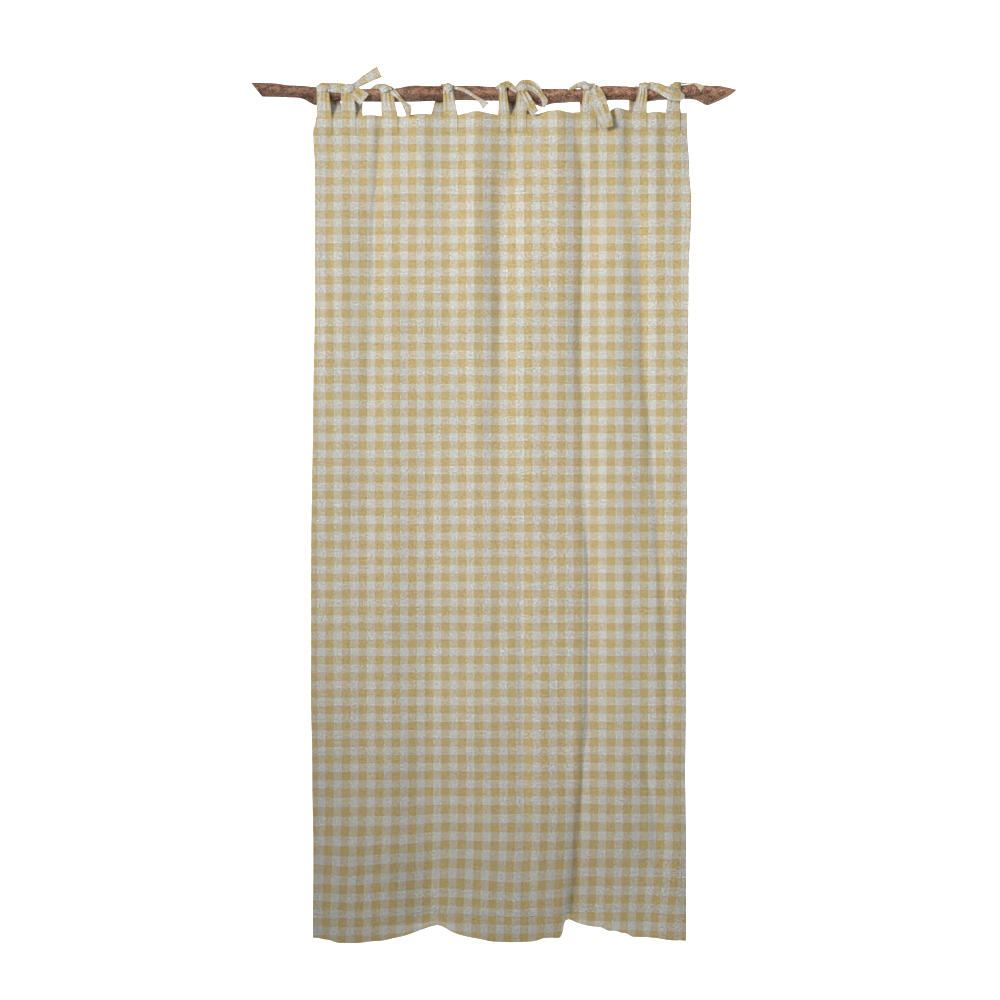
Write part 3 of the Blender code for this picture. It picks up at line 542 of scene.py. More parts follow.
# Sharp narrow creases along the folds. The last one takes back part of the lower left ridge.
CREASES = [
    Fold(0.3, [
        FoldRow(0.00, -0.303, 0.007, 0.010, 0.0012),
        FoldRow(0.02, -0.312, 0.007, 0.012, 0.0048),
        FoldRow(0.08, -0.322, 0.008, 0.016, 0.0048),
        FoldRow(0.16, -0.332, 0.008, 0.018, 0.0036),
        FoldRow(0.26, -0.338, 0.012, 0.020, 0.0024),
        FoldRow(0.42, -0.343, 0.016, 0.020, 0.0000),
    ]),
    Fold(0.3, [
        FoldRow(0.01, -0.028, 0.008, 0.014, 0.0000),
        FoldRow(0.04, -0.023, 0.008, 0.016, 0.0012),
        FoldRow(0.10, -0.011, 0.008, 0.018, 0.0020),
        FoldRow(0.20, 0.002, 0.008, 0.018, 0.0020),
        FoldRow(0.29, 0.013, 0.009, 0.018, 0.0020),
        FoldRow(0.38, 0.017, 0.010, 0.018, 0.0016),
        FoldRow(0.50, 0.020, 0.012, 0.020, 0.0000),
    ]),
    Fold(0.3, [
        FoldRow(0.02, 0.021, 0.006, 0.010, 0.0000),
        FoldRow(0.05, 0.029, 0.006, 0.010, 0.0024),
        FoldRow(0.13, 0.042, 0.007, 0.012, 0.0024),
        FoldRow(0.28, 0.053, 0.008, 0.012, 0.0018),
        FoldRow(0.45, 0.055, 0.008, 0.012, 0.0018),
        FoldRow(0.59, 0.057, 0.007, 0.014, 0.0028),
        FoldRow(0.77, 0.062, 0.007, 0.014, 0.0045),
        FoldRow(0.86, 0.070, 0.007, 0.014, 0.0050),
        FoldRow(0.95, 0.083, 0.008, 0.016, 0.0055),
        FoldRow(1.00, 0.090, 0.010, 0.020, 0.0040),
    ]),
    Fold(0.3, [
        FoldRow(0.02, 0.218, 0.006, 0.010, 0.0000),
        FoldRow(0.07, 0.221, 0.006, 0.010, 0.0010),
        FoldRow(0.13, 0.216, 0.006, 0.012, 0.0014),
        FoldRow(0.26, 0.213, 0.006, 0.012, 0.0014),
        FoldRow(0.41, 0.217, 0.006, 0.014, 0.0020),
        FoldRow(0.50, 0.226, 0.006, 0.014, 0.0030),
        FoldRow(0.60, 0.231, 0.006, 0.016, 0.0045),
        FoldRow(0.74, 0.230, 0.007, 0.018, 0.0065),
        FoldRow(0.80, 0.218, 0.007, 0.020, 0.0085),
        FoldRow(0.86, 0.210, 0.007, 0.022, 0.0100),
        FoldRow(0.92, 0.199, 0.007, 0.024, 0.0100),
        FoldRow(0.98, 0.180, 0.007, 0.026, 0.0080),
        FoldRow(1.00, 0.177, 0.007, 0.026, 0.0060),
    ]),
    Fold(0.3, [
        FoldRow(0.04, 0.352, 0.008, 0.012, 0.0000),
        FoldRow(0.09, 0.357, 0.008, 0.014, 0.0012),
        FoldRow(0.19, 0.367, 0.008, 0.016, 0.0018),
        FoldRow(0.32, 0.383, 0.008, 0.016, 0.0022),
        FoldRow(0.41, 0.396, 0.008, 0.016, 0.0026),
        FoldRow(0.50, 0.409, 0.008, 0.016, 0.0026),
        FoldRow(0.59, 0.418, 0.009, 0.018, 0.0030),
        FoldRow(0.64, 0.423, 0.009, 0.018, 0.0020),
        FoldRow(0.72, 0.425, 0.010, 0.018, 0.0000),
    ]),
    Fold(0.3, [
        FoldRow(0.59, 0.442, 0.007, 0.012, 0.0000),
        FoldRow(0.62, 0.440, 0.007, 0.012, 0.0045),
        FoldRow(0.71, 0.432, 0.007, 0.012, 0.0045),
        FoldRow(0.79, 0.427, 0.008, 0.012, 0.0030),
        FoldRow(0.84, 0.422, 0.008, 0.012, 0.0000),
    ]),
    Fold(0.3, [
        FoldRow(0.78, 0.370, 0.007, 0.012, 0.0000),
        FoldRow(0.80, 0.378, 0.007, 0.012, 0.0045),
        FoldRow(0.85, 0.404, 0.007, 0.012, 0.0045),
        FoldRow(0.91, 0.422, 0.007, 0.012, 0.0030),
        FoldRow(0.95, 0.427, 0.008, 0.012, 0.0000),
    ]),
    Fold(0.3, [
        FoldRow(0.38, -0.182, 0.012, 0.016, 0.0000),
        FoldRow(0.48, -0.182, 0.010, 0.016, 0.0036),
        FoldRow(0.60, -0.182, 0.010, 0.018, 0.0042),
        FoldRow(0.70, -0.184, 0.010, 0.020, 0.0042),
        FoldRow(0.80, -0.188, 0.012, 0.020, 0.0040),
        FoldRow(0.92, -0.186, 0.014, 0.022, 0.0050),
        FoldRow(1.00, -0.178, 0.014, 0.022, 0.0000),
    ]),
    Fold(0.3, [
        FoldRow(0.02, -0.448, 0.008, 0.012, 0.0000),
        FoldRow(0.05, -0.448, 0.008, 0.012, 0.0026),
        FoldRow(0.15, -0.447, 0.008, 0.014, 0.0030),
        FoldRow(0.20, -0.435, 0.008, 0.014, 0.0032),
        FoldRow(0.29, -0.424, 0.008, 0.014, 0.0032),
        FoldRow(0.40, -0.419, 0.010, 0.014, 0.0000),
    ]),
    Fold(0.3, [
        FoldRow(0.04, 0.313, 0.006, 0.010, 0.0000),
        FoldRow(0.06, 0.313, 0.006, 0.010, 0.0014),
        FoldRow(0.12, 0.315, 0.006, 0.010, 0.0010),
        FoldRow(0.20, 0.318, 0.006, 0.010, 0.0000),
    ]),
    Fold(4.0, [
        FoldRow(0.74, -0.375, 0.060, 0.050, 0.000),
        FoldRow(0.86, -0.370, 0.060, 0.050, 0.014),
        FoldRow(1.00, -0.365, 0.060, 0.050, 0.020),
    ]),
]
# How much longer or shorter the panel hangs than the solid at its hem, from the photo's edge.
HemStep = namedtuple("HemStep", "x longer")
HEM_STEPS = [
    HemStep(-0.485, -0.010),
    HemStep(-0.450, -0.004),
    HemStep(-0.415, 0.006),
    HemStep(-0.340, 0.009),
    HemStep(-0.270, 0.006),
    HemStep(-0.205, 0.013),
    HemStep(-0.160, 0.003),
    HemStep(-0.120, 0.008),
    HemStep(0.020, 0.009),
    HemStep(0.120, 0.006),
    HemStep(0.160, 0.010),
    HemStep(0.184, 0.001),
    HemStep(0.262, -0.004),
    HemStep(0.290, 0.009),
    HemStep(0.400, 0.011),
    HemStep(0.485, 0.015),
]
HEM_STEP_FROM = 0.88


def cloth_detail(u, across, length):
    """Depths too fine for the solid: creases, pulls below the ties, ripples, and puckers at seams."""
    depth = np.zeros(u.shape)
    for crease in CREASES:
        row = read_table(crease.rows, length / DROP)
        depth = depth + row.depth * fold_share(across - row.x, row.left, row.right, crease.softness)
    for pull in PULLS:
        depth = depth - pull.forward * np.exp(-length / pull.fade) * between(0.0, 0.05, length) * bell(
            (u - pull.x - pull.lean * length) / (pull.reach * (1.0 + 4.0 * length)))
    for ripple in RIPPLES:
        depth = depth + between(0.0, 0.08, length) * ripple.height * np.sin(
            2.0 * np.pi * (u / ripple.across + length / ripple.down) + ripple.start)
    pucker = np.sin(2.0 * np.pi * u / 0.027 + 1.7 * np.sin(2.0 * np.pi * u / 0.16))
    depth = depth + 0.00045 * pucker * bell((length - HEADING_HEM) / 0.014)
    depth = depth + 0.00050 * pucker * bell((DROP - BOTTOM_HEM - length) / 0.018)
    side = np.sin(2.0 * np.pi * length / 0.061 + 1.9 * np.sin(2.0 * np.pi * length / 0.31))
    for inset in (u + HALF_WIDTH, HALF_WIDTH - u):
        depth = depth + 0.00050 * side * bell((inset - SIDE_HEM) / 0.011) * between(0.05, 0.09, length)
    return depth


def fine_columns():
    """Places across the heading, crowded where the main fold begins."""
    even = np.linspace(-HALF_WIDTH, HALF_WIDTH, 4001)
    density = 1.0 + sum(crowd.share * bell((even - crowd.x) / crowd.reach) for crowd in CROWDS)
    run = np.concatenate([[0.0], np.cumsum((density[1:] + density[:-1]) / 2.0)])
    return np.interp(np.linspace(0.0, run[-1], FINE_COLUMNS + 1), run, even)


def fine_lengths():
    """How far down the cloth each row lies, closer together at the heading and the hem."""
    heading = np.linspace(0.0, HEADING_ZONE, HEADING_ROWS + 1)
    middle = np.linspace(HEADING_ZONE, DROP - HEM_ZONE, MIDDLE_ROWS + 1)
    hem = np.linspace(DROP - HEM_ZONE, DROP, HEM_ROWS + 1)
    return np.concatenate([heading, middle[1:], hem[1:]])


def panel_grid():
    """The panel's middle surface, and where each point lies in the flat cloth."""
    length, u = np.meshgrid(fine_lengths(), fine_columns(), indexing="ij")
    down = length / DROP
    across = cloth_across(u, down)
    depth = cloth_depth(across, down) + cloth_detail(u, across, length)
    step = np.diff(length, axis=0)
    fall = np.sqrt(np.maximum(step ** 2 - np.diff(depth, axis=0) ** 2, (0.15 * step) ** 2))
    drop = np.concatenate([np.zeros((1, u.shape[1])), np.cumsum(fall, axis=0)])
    drop = drop + read_table(HEM_STEPS, across).longer * between(HEM_STEP_FROM, 1.0, down)
    height = cloth_top(across[0])[None, :] - drop
    return np.stack([across, depth, height], axis=-1), u, length


def panel_thickness(u, length):
    inset = np.minimum(u + HALF_WIDTH, HALF_WIDTH - u)
    side = 1.0 - between(SIDE_HEM - HEM_EASE, SIDE_HEM + HEM_EASE, inset)
    heading = 1.0 - between(HEADING_HEM - HEM_EASE, HEADING_HEM + HEM_EASE, length)
    bottom = 1.0 - between(BOTTOM_HEM - HEM_EASE, BOTTOM_HEM + HEM_EASE, DROP - length)
    thick = PLAIN_THICK + (SIDE_THICK - PLAIN_THICK) * side
    thick = np.maximum(thick, PLAIN_THICK + (HEADING_THICK - PLAIN_THICK) * heading)
    return np.maximum(thick, PLAIN_THICK + (BOTTOM_THICK - PLAIN_THICK) * bottom)


def grid_normals(points):
    """Unit normals of a grid of points. They point back where its rows go up or away from a knot."""
    along = np.gradient(points, axis=0)
    across = np.gradient(points, axis=1)
    normals = np.cross(along, across)
    normals /= np.maximum(np.linalg.norm(normals, axis=-1, keepdims=True), 1e-9)
    return normals


def add_shell(name, points, thick, cloth_uv, check_uv, material, collection):
    """A closed sheet about a grid of points, with its two faces and its rim."""
    rows, columns = points.shape[:2]
    normals = grid_normals(points)
    half = (np.broadcast_to(thick, (rows, columns)) / 2.0)[..., None]
    front, back = points + normals * half, points - normals * half
    coords = np.concatenate([front.reshape(-1, 3), back.reshape(-1, 3)])
    index = np.arange(rows * columns).reshape(rows, columns)
    cells = np.stack([index[:-1, :-1], index[1:, :-1], index[1:, 1:], index[:-1, 1:]], axis=-1).reshape(-1, 4)
    rim = np.concatenate([index[0, :], index[1:, -1], index[-1, -2::-1], index[-2:0:-1, 0]])
    following = np.roll(rim, -1)
    total = rows * columns
    edge = np.stack([rim, following, following + total, rim + total], axis=-1)
    faces = np.concatenate([cells, cells[:, ::-1] + total, edge])
    mesh = bpy.data.meshes.new(name)
    mesh.from_pydata(coords.tolist(), [], faces.tolist())
    for map_name, flat in (("cloth", cloth_uv), ("checks", check_uv)):
        layer = mesh.uv_layers.new(name=map_name)
        both = np.concatenate([flat.reshape(-1, 2), flat.reshape(-1, 2)])
        corners = np.empty(len(mesh.loops), dtype=np.int32)
        mesh.loops.foreach_get("vertex_index", corners)
        layer.data.foreach_set("uv", both[corners].astype(np.float32).ravel())
    mesh.update()
    mesh.validate()
    if sum(poly.area * poly.normal.dot(poly.center) for poly in mesh.polygons) < 0:
        mesh.flip_normals()
    mesh.shade_smooth()
    mesh.materials.append(material)
    obj = bpy.data.objects.new(name, mesh)
    collection.objects.link(obj)
    return obj


def row_phase(x, below):
    """Which row of checks lies this far below the top edge's middle, in repeats."""
    left, right = (np.interp(below - ROWS_LOWER, [row.below for row in chart], [row.rows for row in chart])
                   for chart in (LEFT_ROWS, RIGHT_ROWS))
    return left + (right - left) * between(*CHART_TURNS, x)


def check_phase(points, length):
    """Where each point of the hung panel lies in the checks, in repeats."""
    down = length / DROP
    across, depth, height = points[..., 0], points[..., 1], points[..., 2]
    nearer = STRAIGHTENED * (FRONT_DISTANCE / (FRONT_DISTANCE + depth) - 1.0)
    column = across * (1.0 + nearer) - FIRST_COLUMN
    for push in COLUMN_PUSHES:
        column = column + push.left * bell((across - push.x) / push.reach) * between(push.start, push.end, down)
    below = TOP_EDGE - height - (height - FRONT_HEIGHT) * nearer
    row = row_phase(across, below)
    for push in ROW_PUSHES:
        row = row + push.rows * bell((across - push.x) / push.reach) * bell((down - push.down) / push.spread)
    return np.stack([column / CHECK, row], axis=-1)


def make_panel(material, collection):
    points, u, length = panel_grid()
    cloth_uv = np.stack([u + HALF_WIDTH, length], axis=-1)
    panel = add_shell("gingham_panel", points, panel_thickness(u, length), cloth_uv,
                      check_phase(points, length), material, collection)
    return panel, points, u, length


# Fine ribbons: cells across a ribbon, rows along its sewn part, and steps between stations.
RIBBON_CELLS = 22
SEWN_ROWS = 12
FINE_STEPS = 12
FULL_RIBBON = 0.041
GATHERS = 3.0
SEWN_GAP = 0.0004
MEETS_SHARE = 0.2


def across_strap(x, width):
    return x + width * np.linspace(-0.5, 0.5, RIBBON_CELLS + 1)


def sewn_part(strap, side, panel):
    """A strap's rows on the heading's face, from its sewn end up to the heading's edge."""
    points, _, length = panel
    lengths = length[:, 0]
    wanted = np.linspace(SEWN_DEPTH, 0.0, SEWN_ROWS + 1)
    away = side * ((HEADING_THICK + RIBBON_THICK) / 2.0 + SEWN_GAP)
    rows = []
    for at in wanted:
        row = np.array([[np.interp(at, lengths, points[:, column, axis]) for axis in range(3)]
                        for column in range(points.shape[1])])
        here = across_strap(strap.sewn_x, strap.sewn_width)
        depths = np.interp(here, row[:, 0], row[:, 1])
        height = np.interp(strap.sewn_x, row[:, 0], row[:, 2])
        rows.append(np.stack([here, depths + away, np.full(here.shape, height)], axis=-1))
    return np.array(rows)


def on_branch(x, angle, width, above=0.0):
    here = across_strap(x, width)
    return round_branch(here, np.full(here.shape, float(angle)), BARK_GAP + CAD_RIBBON_THICK / 2.0 + above)


def smooth_between(before, start, end, after, share):
    return 0.5 * (2.0 * start + (end - before) * share
                  + (2.0 * before - 5.0 * start + 4.0 * end - after) * share ** 2
                  + (3.0 * start - before - 3.0 * end + after) * share ** 3)


def smooth_rows(rows, steps=FINE_STEPS):
    """The rows with smooth steps put between them."""
    smooth = []
    for index in range(len(rows) - 1):
        four = (rows[max(index - 1, 0)], rows[index], rows[index + 1], rows[min(index + 2, len(rows) - 1)])
        for step in range(steps):
            smooth.append(smooth_between(*four, step / steps))
    smooth.append(rows[-1])
    return np.array(smooth)


def arc_lengths(points):
    """How far along each row lies, down the middle of the grid."""
    middle = points[:, points.shape[1] // 2]
    steps = np.linalg.norm(np.diff(middle, axis=0), axis=1)
    return np.concatenate([[0.0], np.cumsum(steps)])


def arc_widths(points):
    return np.linalg.norm(np.diff(points, axis=1), axis=2).sum(axis=1)


def gather(points, side, full, share, waves=GATHERS, start=0.6):
    """Corrugates a ribbon where it is narrower than its cloth, so that the cloth keeps its width."""
    widths = arc_widths(points)
    spare = np.sqrt(np.maximum(full / widths - 1.0, 0.0))
    height = np.minimum(widths / (np.pi * waves) * spare, 0.0018) * share
    across = np.linspace(0.0, 1.0, points.shape[1])[None, :]
    along = np.linspace(0.0, 1.0, points.shape[0])[:, None]
    wobble = start + 1.3 * np.sin(3.1 * along + start) + 0.5 * np.sin(2.0 * np.pi * across + start)
    lift = height[:, None] * (1.0 + np.sin(2.0 * np.pi * waves * across + wobble)) * 0.9
    return points + grid_normals(points) * (side * lift)[..., None]


def clear_of_branch(points, above):
    """The points, those too near the branch moved out to this far above its bark."""
    depth, height = branch_axis(points[..., 0])
    offset = np.stack([depth - points[..., 1], points[..., 2] - height], axis=-1)
    angle = np.degrees(np.arctan2(offset[..., 1], offset[..., 0]))
    outside = round_branch(points[..., 0], angle, above)
    near = np.linalg.norm(offset, axis=-1) < branch_radius(points[..., 0], angle) + above
    return np.where(near[..., None], outside, points)


def clear_of_cloth(points, above):
    """The points, those behind or too near the heading's front moved out before it."""
    below = cloth_top(points[..., 0]) + above - points[..., 2]
    nearest = cloth_depth(points[..., 0], np.maximum(below, 0.0) / DROP) - CAD_CLOTH_THICK / 2.0 - above
    depth = np.where(below >= 0.0, np.minimum(points[..., 1], nearest), points[..., 1])
    return np.stack([points[..., 0], depth, points[..., 2]], axis=-1)


def tail_grid(rows):
    """A free tail's grid from inside its knot to its cut end."""
    middles = [np.array([row.x, row.depth, row.height]) for row in rows]
    grid = []
    for index, row in enumerate(rows):
        tangent = middles[min(index + 1, len(rows) - 1)] - middles[max(index - 1, 0)]
        tangent = tangent / np.linalg.norm(tangent)
        across = np.cross(tangent, [0.0, -1.0, 0.0])
        across /= np.linalg.norm(across)
        face = np.cross(across, tangent)
        roll = math.radians(row.roll)
        across = across * math.cos(roll) + face * math.sin(roll)
        places = np.linspace(-0.5, 0.5, RIBBON_CELLS + 1)[:, None]
        grid.append(middles[index] + across * row.width * places)
    return smooth_rows(np.array(grid))


def ribbon_checks(points, x, from_edge):
    across = np.linspace(-0.5, 0.5, points.shape[1])[None, :] * np.ones((points.shape[0], 1))
    along = arc_lengths(points)[:, None] * np.ones((1, points.shape[1]))
    cloth = np.stack([across * FULL_RIBBON + FULL_RIBBON / 2.0, along], axis=-1)
    below = from_edge - along - (float(cloth_top(x)) - TOP_EDGE)
    checks = np.stack([(x + across * FULL_RIBBON - FIRST_COLUMN) / CHECK, row_phase(x, below)], axis=-1)
    return cloth, checks


def tail_checks(points, column, row):
    span = min(FULL_RIBBON, float(arc_widths(points).max()))
    across = np.linspace(-0.5, 0.5, points.shape[1])[None, :] * np.ones((points.shape[0], 1))
    along = arc_lengths(points)[:, None] * np.ones((1, points.shape[1]))
    cloth = np.stack([across * span + FULL_RIBBON / 2.0, along], axis=-1)
    return cloth, np.stack([column + across * span / CHECK, row + along / CHECK], axis=-1)


def join(name, objects):
    """Joins meshes into the first, with no operator."""
    bm = bmesh.new()
    for obj in objects:
        bm.from_mesh(obj.data)
    mesh = bpy.data.meshes.new(name)
    bm.to_mesh(mesh)
    bm.free()
    mesh.materials.append(objects[0].data.materials[0])
    mesh.shade_smooth()
    for obj in objects[1:]:
        bpy.data.objects.remove(obj)
    objects[0].data = mesh
    objects[0].name = name
    return objects[0]


def off_bark(points):
    """The strap's points above the heading, none of them nearer the bark than its gap."""
    clear = clear_of_branch(points, BARK_GAP + RIBBON_THICK / 2.0)
    return np.concatenate([points[:SEWN_ROWS], clear[SEWN_ROWS:]])


def make_front_ribbon(name, tie, panel, material, collection):
    strap, knot = tie.front, tie.knot
    sewn = sewn_part(strap, FRONT, panel)
    free = [on_branch(strap.top_x + (strap.sewn_x - strap.top_x) * MEETS_SHARE, MEETS_FRONT,
                      strap.top_width + (strap.sewn_width - strap.top_width) * MEETS_SHARE, CLOTH_GAP)]
    free += [on_branch(strap.top_x, knot.angle * stop.angle, strap.top_width * stop.width, knot.rise * stop.rise)
             for stop in FRONT_STOPS]
    points = off_bark(np.concatenate([sewn[:-1], smooth_rows(np.array([sewn[-1]] + free))]))
    along = arc_lengths(points)
    share = between(SEWN_DEPTH, SEWN_DEPTH + 0.045, along)
    points = gather(points, FRONT, strap.sewn_width, share, start=10.0 * strap.sewn_x)
    cloth, checks = ribbon_checks(points, strap.sewn_x, SEWN_DEPTH)
    pieces = [add_shell(f"{name}_strap", points, RIBBON_THICK, cloth, checks, material, collection)]
    for index, rows in enumerate(tie.tails):
        points = tail_grid(rows)
        share = 1.0 - between(0.35, 1.0, np.linspace(0.0, 1.0, len(points)))
        points = gather(points, FRONT, FULL_RIBBON, share, waves=2.0, start=2.0 + index + 8.0 * rows[0].x)
        points = clear_of_branch(points, BARK_GAP + RIBBON_THICK / 2.0)
        points = clear_of_cloth(points, BARK_GAP + RIBBON_THICK / 2.0)
        cloth, checks = tail_checks(points, *TAIL_CUTS[name][index])
        pieces.append(add_shell(f"{name}_tail_{index}", points, RIBBON_THICK * 1.1, cloth, checks,
                                material, collection))
    return join(f"{name}_front_ribbon", pieces)


def make_back_ribbon(name, tie, panel, material, collection):
    strap, knot = tie.back, tie.knot
    seat = knot.half_width * KNOT_SEAT
    end = knot.angle + math.degrees(seat / (float(branch_radius(knot.x, knot.angle)) + CAD_RIBBON_THICK))
    sewn = sewn_part(strap, BACK, panel)
    free = [on_branch((strap.sewn_x + strap.top_x) / 2.0, MEETS_BACK,
                      (strap.sewn_width + strap.top_width) / 2.0, CLOTH_GAP)]
    free += [on_branch(strap.top_x + (knot.x - strap.top_x) * stop.moved,
                       HIGH_ON_BACK + (end - HIGH_ON_BACK) * stop.turned, strap.top_width * stop.width)
             for stop in BACK_STOPS]
    points = off_bark(np.concatenate([sewn[:-1], smooth_rows(np.array([sewn[-1]] + free))]))
    share = between(SEWN_DEPTH, SEWN_DEPTH + 0.045, arc_lengths(points))
    points = gather(points, BACK, strap.sewn_width, share, start=7.0 * strap.sewn_x)
    cloth, checks = ribbon_checks(points, strap.sewn_x, SEWN_DEPTH)
    return add_shell(f"{name}_back_ribbon", points, RIBBON_THICK, cloth, checks, material, collection)


KNOT_AROUND, KNOT_UP = 64, 40
KNOT_SEAT = 0.55
# Where each knot's middle is cut from the checks: its column and its row, in repeats.
KNOT_CUTS = {
    "tie_1": (0.85, 0.75), "tie_2": (0.50, 0.55), "tie_3": (0.50, 0.72), "tie_4": (0.45, 0.75),
    "tie_5": (0.90, 0.80), "tie_6": (0.45, 0.55), "tie_7": (0.62, 0.60), "tie_8": (0.10, 0.95),
    "tie_9": (0.00, 0.05),
}


def make_knot(name, knot, material, collection, seed):
    """The lump of the knot: cloth wrapped across a gathered strap, in folds that run into it."""
    bm = bmesh.new()
    bmesh.ops.create_uvsphere(bm, u_segments=KNOT_AROUND, v_segments=KNOT_UP, radius=1.0)
    layers = [bm.loops.layers.uv.new("cloth"), bm.loops.layers.uv.new("checks")]
    for vert in bm.verts:
        x, y, z = vert.co
        wrap = math.exp(-((x + 0.25 * y) / 0.42) ** 2)
        folds = math.sin(7.0 * y + 2.2 * x + seed) * (1.0 - wrap)
        turns = math.sin(11.0 * x + 1.7 * math.sin(3.0 * y + seed)) * wrap
        groove = math.exp(-((abs(x + 0.25 * y) - 0.46) / 0.09) ** 2)
        vert.co *= 0.97 + 0.06 * wrap + 0.050 * folds + 0.030 * turns - 0.05 * groove
    place = (Matrix.Translation(Vector(round_branch(knot.x, knot.angle, BARK_GAP + CLOTH_GAP + knot.rise)))
             @ Matrix.Rotation(math.radians(90.0 - knot.angle), 4, "X")
             @ Matrix.Rotation(math.radians(knot.turn), 4, "Z")
             @ Matrix.Diagonal((knot.half_length, knot.half_width, knot.rise, 1.0)))
    column, row = KNOT_CUTS[name]
    for face in bm.faces:
        for loop in face.loops:
            x, y, z = loop.vert.co
            flat = (0.02 + x * knot.half_length, 0.02 + y * knot.half_width * 1.4)
            loop[layers[0]].uv = flat
            loop[layers[1]].uv = (column + x * knot.half_length / CHECK, row + 1.4 * y * knot.half_width / CHECK)
    bmesh.ops.transform(bm, matrix=place, verts=bm.verts[:])
    mesh = bpy.data.meshes.new(f"{name}_knot")
    bm.to_mesh(mesh)
    bm.free()
    mesh.materials.append(material)
    mesh.shade_smooth()
    obj = bpy.data.objects.new(f"{name}_knot", mesh)
    collection.objects.link(obj)
    return obj


# The branch's fine skin.
BARK_ALONG, BARK_AROUND = 620, 72


def bark_relief(x, angle, random):
    """Bark: long shallow ridges, a few rings where twigs grew, and small pits."""
    turn = np.radians(angle)
    relief = np.zeros(x.shape)
    for count, height in ((3, 0.00035), (5, 0.00030), (9, 0.00022), (14, 0.00014)):
        wander = random.uniform(0.0, 6.3) + 1.6 * np.sin(x * random.uniform(6.0, 16.0) + random.uniform(0.0, 6.3))
        relief = relief + height * np.sin(count * turn + wander)
    for _ in range(46):
        place, toward = random.uniform(-0.63, 0.58), random.uniform(-180.0, 180.0)
        reach, height = random.uniform(0.003, 0.010), random.uniform(-0.0006, 0.0007)
        apart = (angle - toward + 180.0) % 360.0 - 180.0
        relief = relief + height * bell((x - place) / reach) * bell(apart / random.uniform(14.0, 32.0))
    for _ in range(16):
        place = random.uniform(-0.62, 0.57)
        relief = relief + random.uniform(-0.0004, 0.0004) * bell((x - place) / random.uniform(0.002, 0.005))
    return relief


def make_branch(bark, wood, collection):
    """A fine tube along the branch's axis with its bark, sawn off at both ends."""
    random = np.random.default_rng(11)
    x = np.linspace(BRANCH[0].x, BRANCH[-1].x, BARK_ALONG + 1)[:, None] * np.ones((1, BARK_AROUND))
    angle = np.linspace(0.0, 360.0, BARK_AROUND, endpoint=False)[None, :] * np.ones((BARK_ALONG + 1, 1))
    relief = np.clip(bark_relief(x, angle, random), -0.0012, 0.0007)
    points = round_branch(x, angle, relief)
    index = np.arange(points[..., 0].size).reshape(points.shape[:2])
    following = np.roll(index, -1, axis=1)
    faces = np.stack([index[:-1], index[1:], following[1:], following[:-1]], axis=-1).reshape(-1, 4)
    mesh = bpy.data.meshes.new("branch_rod")
    mesh.from_pydata(points.reshape(-1, 3).tolist(), [], faces.tolist())
    bm = bmesh.new()
    bm.from_mesh(mesh)
    for cut in (LEFT_CUT, RIGHT_CUT):
        result = bmesh.ops.bisect_plane(
            bm, geom=bm.verts[:] + bm.edges[:] + bm.faces[:], clear_outer=True,
            plane_co=Vector((cut.x, 0.0, cut.z)), plane_no=Vector((cut.normal_x, 0.0, cut.normal_z)))
        rim = [item for item in result["geom_cut"] if isinstance(item, bmesh.types.BMEdge)]
        filled = bmesh.ops.holes_fill(bm, edges=rim, sides=0)
        for face in filled["faces"]:
            face.material_index = 1
            face.smooth = False
    bmesh.ops.recalc_face_normals(bm, faces=bm.faces[:])
    around = bm.loops.layers.uv.new("bark")
    for face in bm.faces:
        turns = []
        for loop in face.loops:
            depth, height = branch_axis(loop.vert.co.x)
            turns.append(math.atan2(loop.vert.co.z - float(height), float(depth) - loop.vert.co.y))
        for loop, turn in zip(face.loops, turns):
            if turn < turns[0] - math.pi:
                turn += 2.0 * math.pi
            elif turn > turns[0] + math.pi:
                turn -= 2.0 * math.pi
            loop[around].uv = (loop.vert.co.x, turn * 0.017)
    bm.to_mesh(mesh)
    bm.free()
    for poly in mesh.polygons:
        poly.use_smooth = poly.material_index == 0
    mesh.materials.append(bark)
    mesh.materials.append(wood)
    obj = bpy.data.objects.new("branch_rod", mesh)
    collection.objects.link(obj)
    return obj


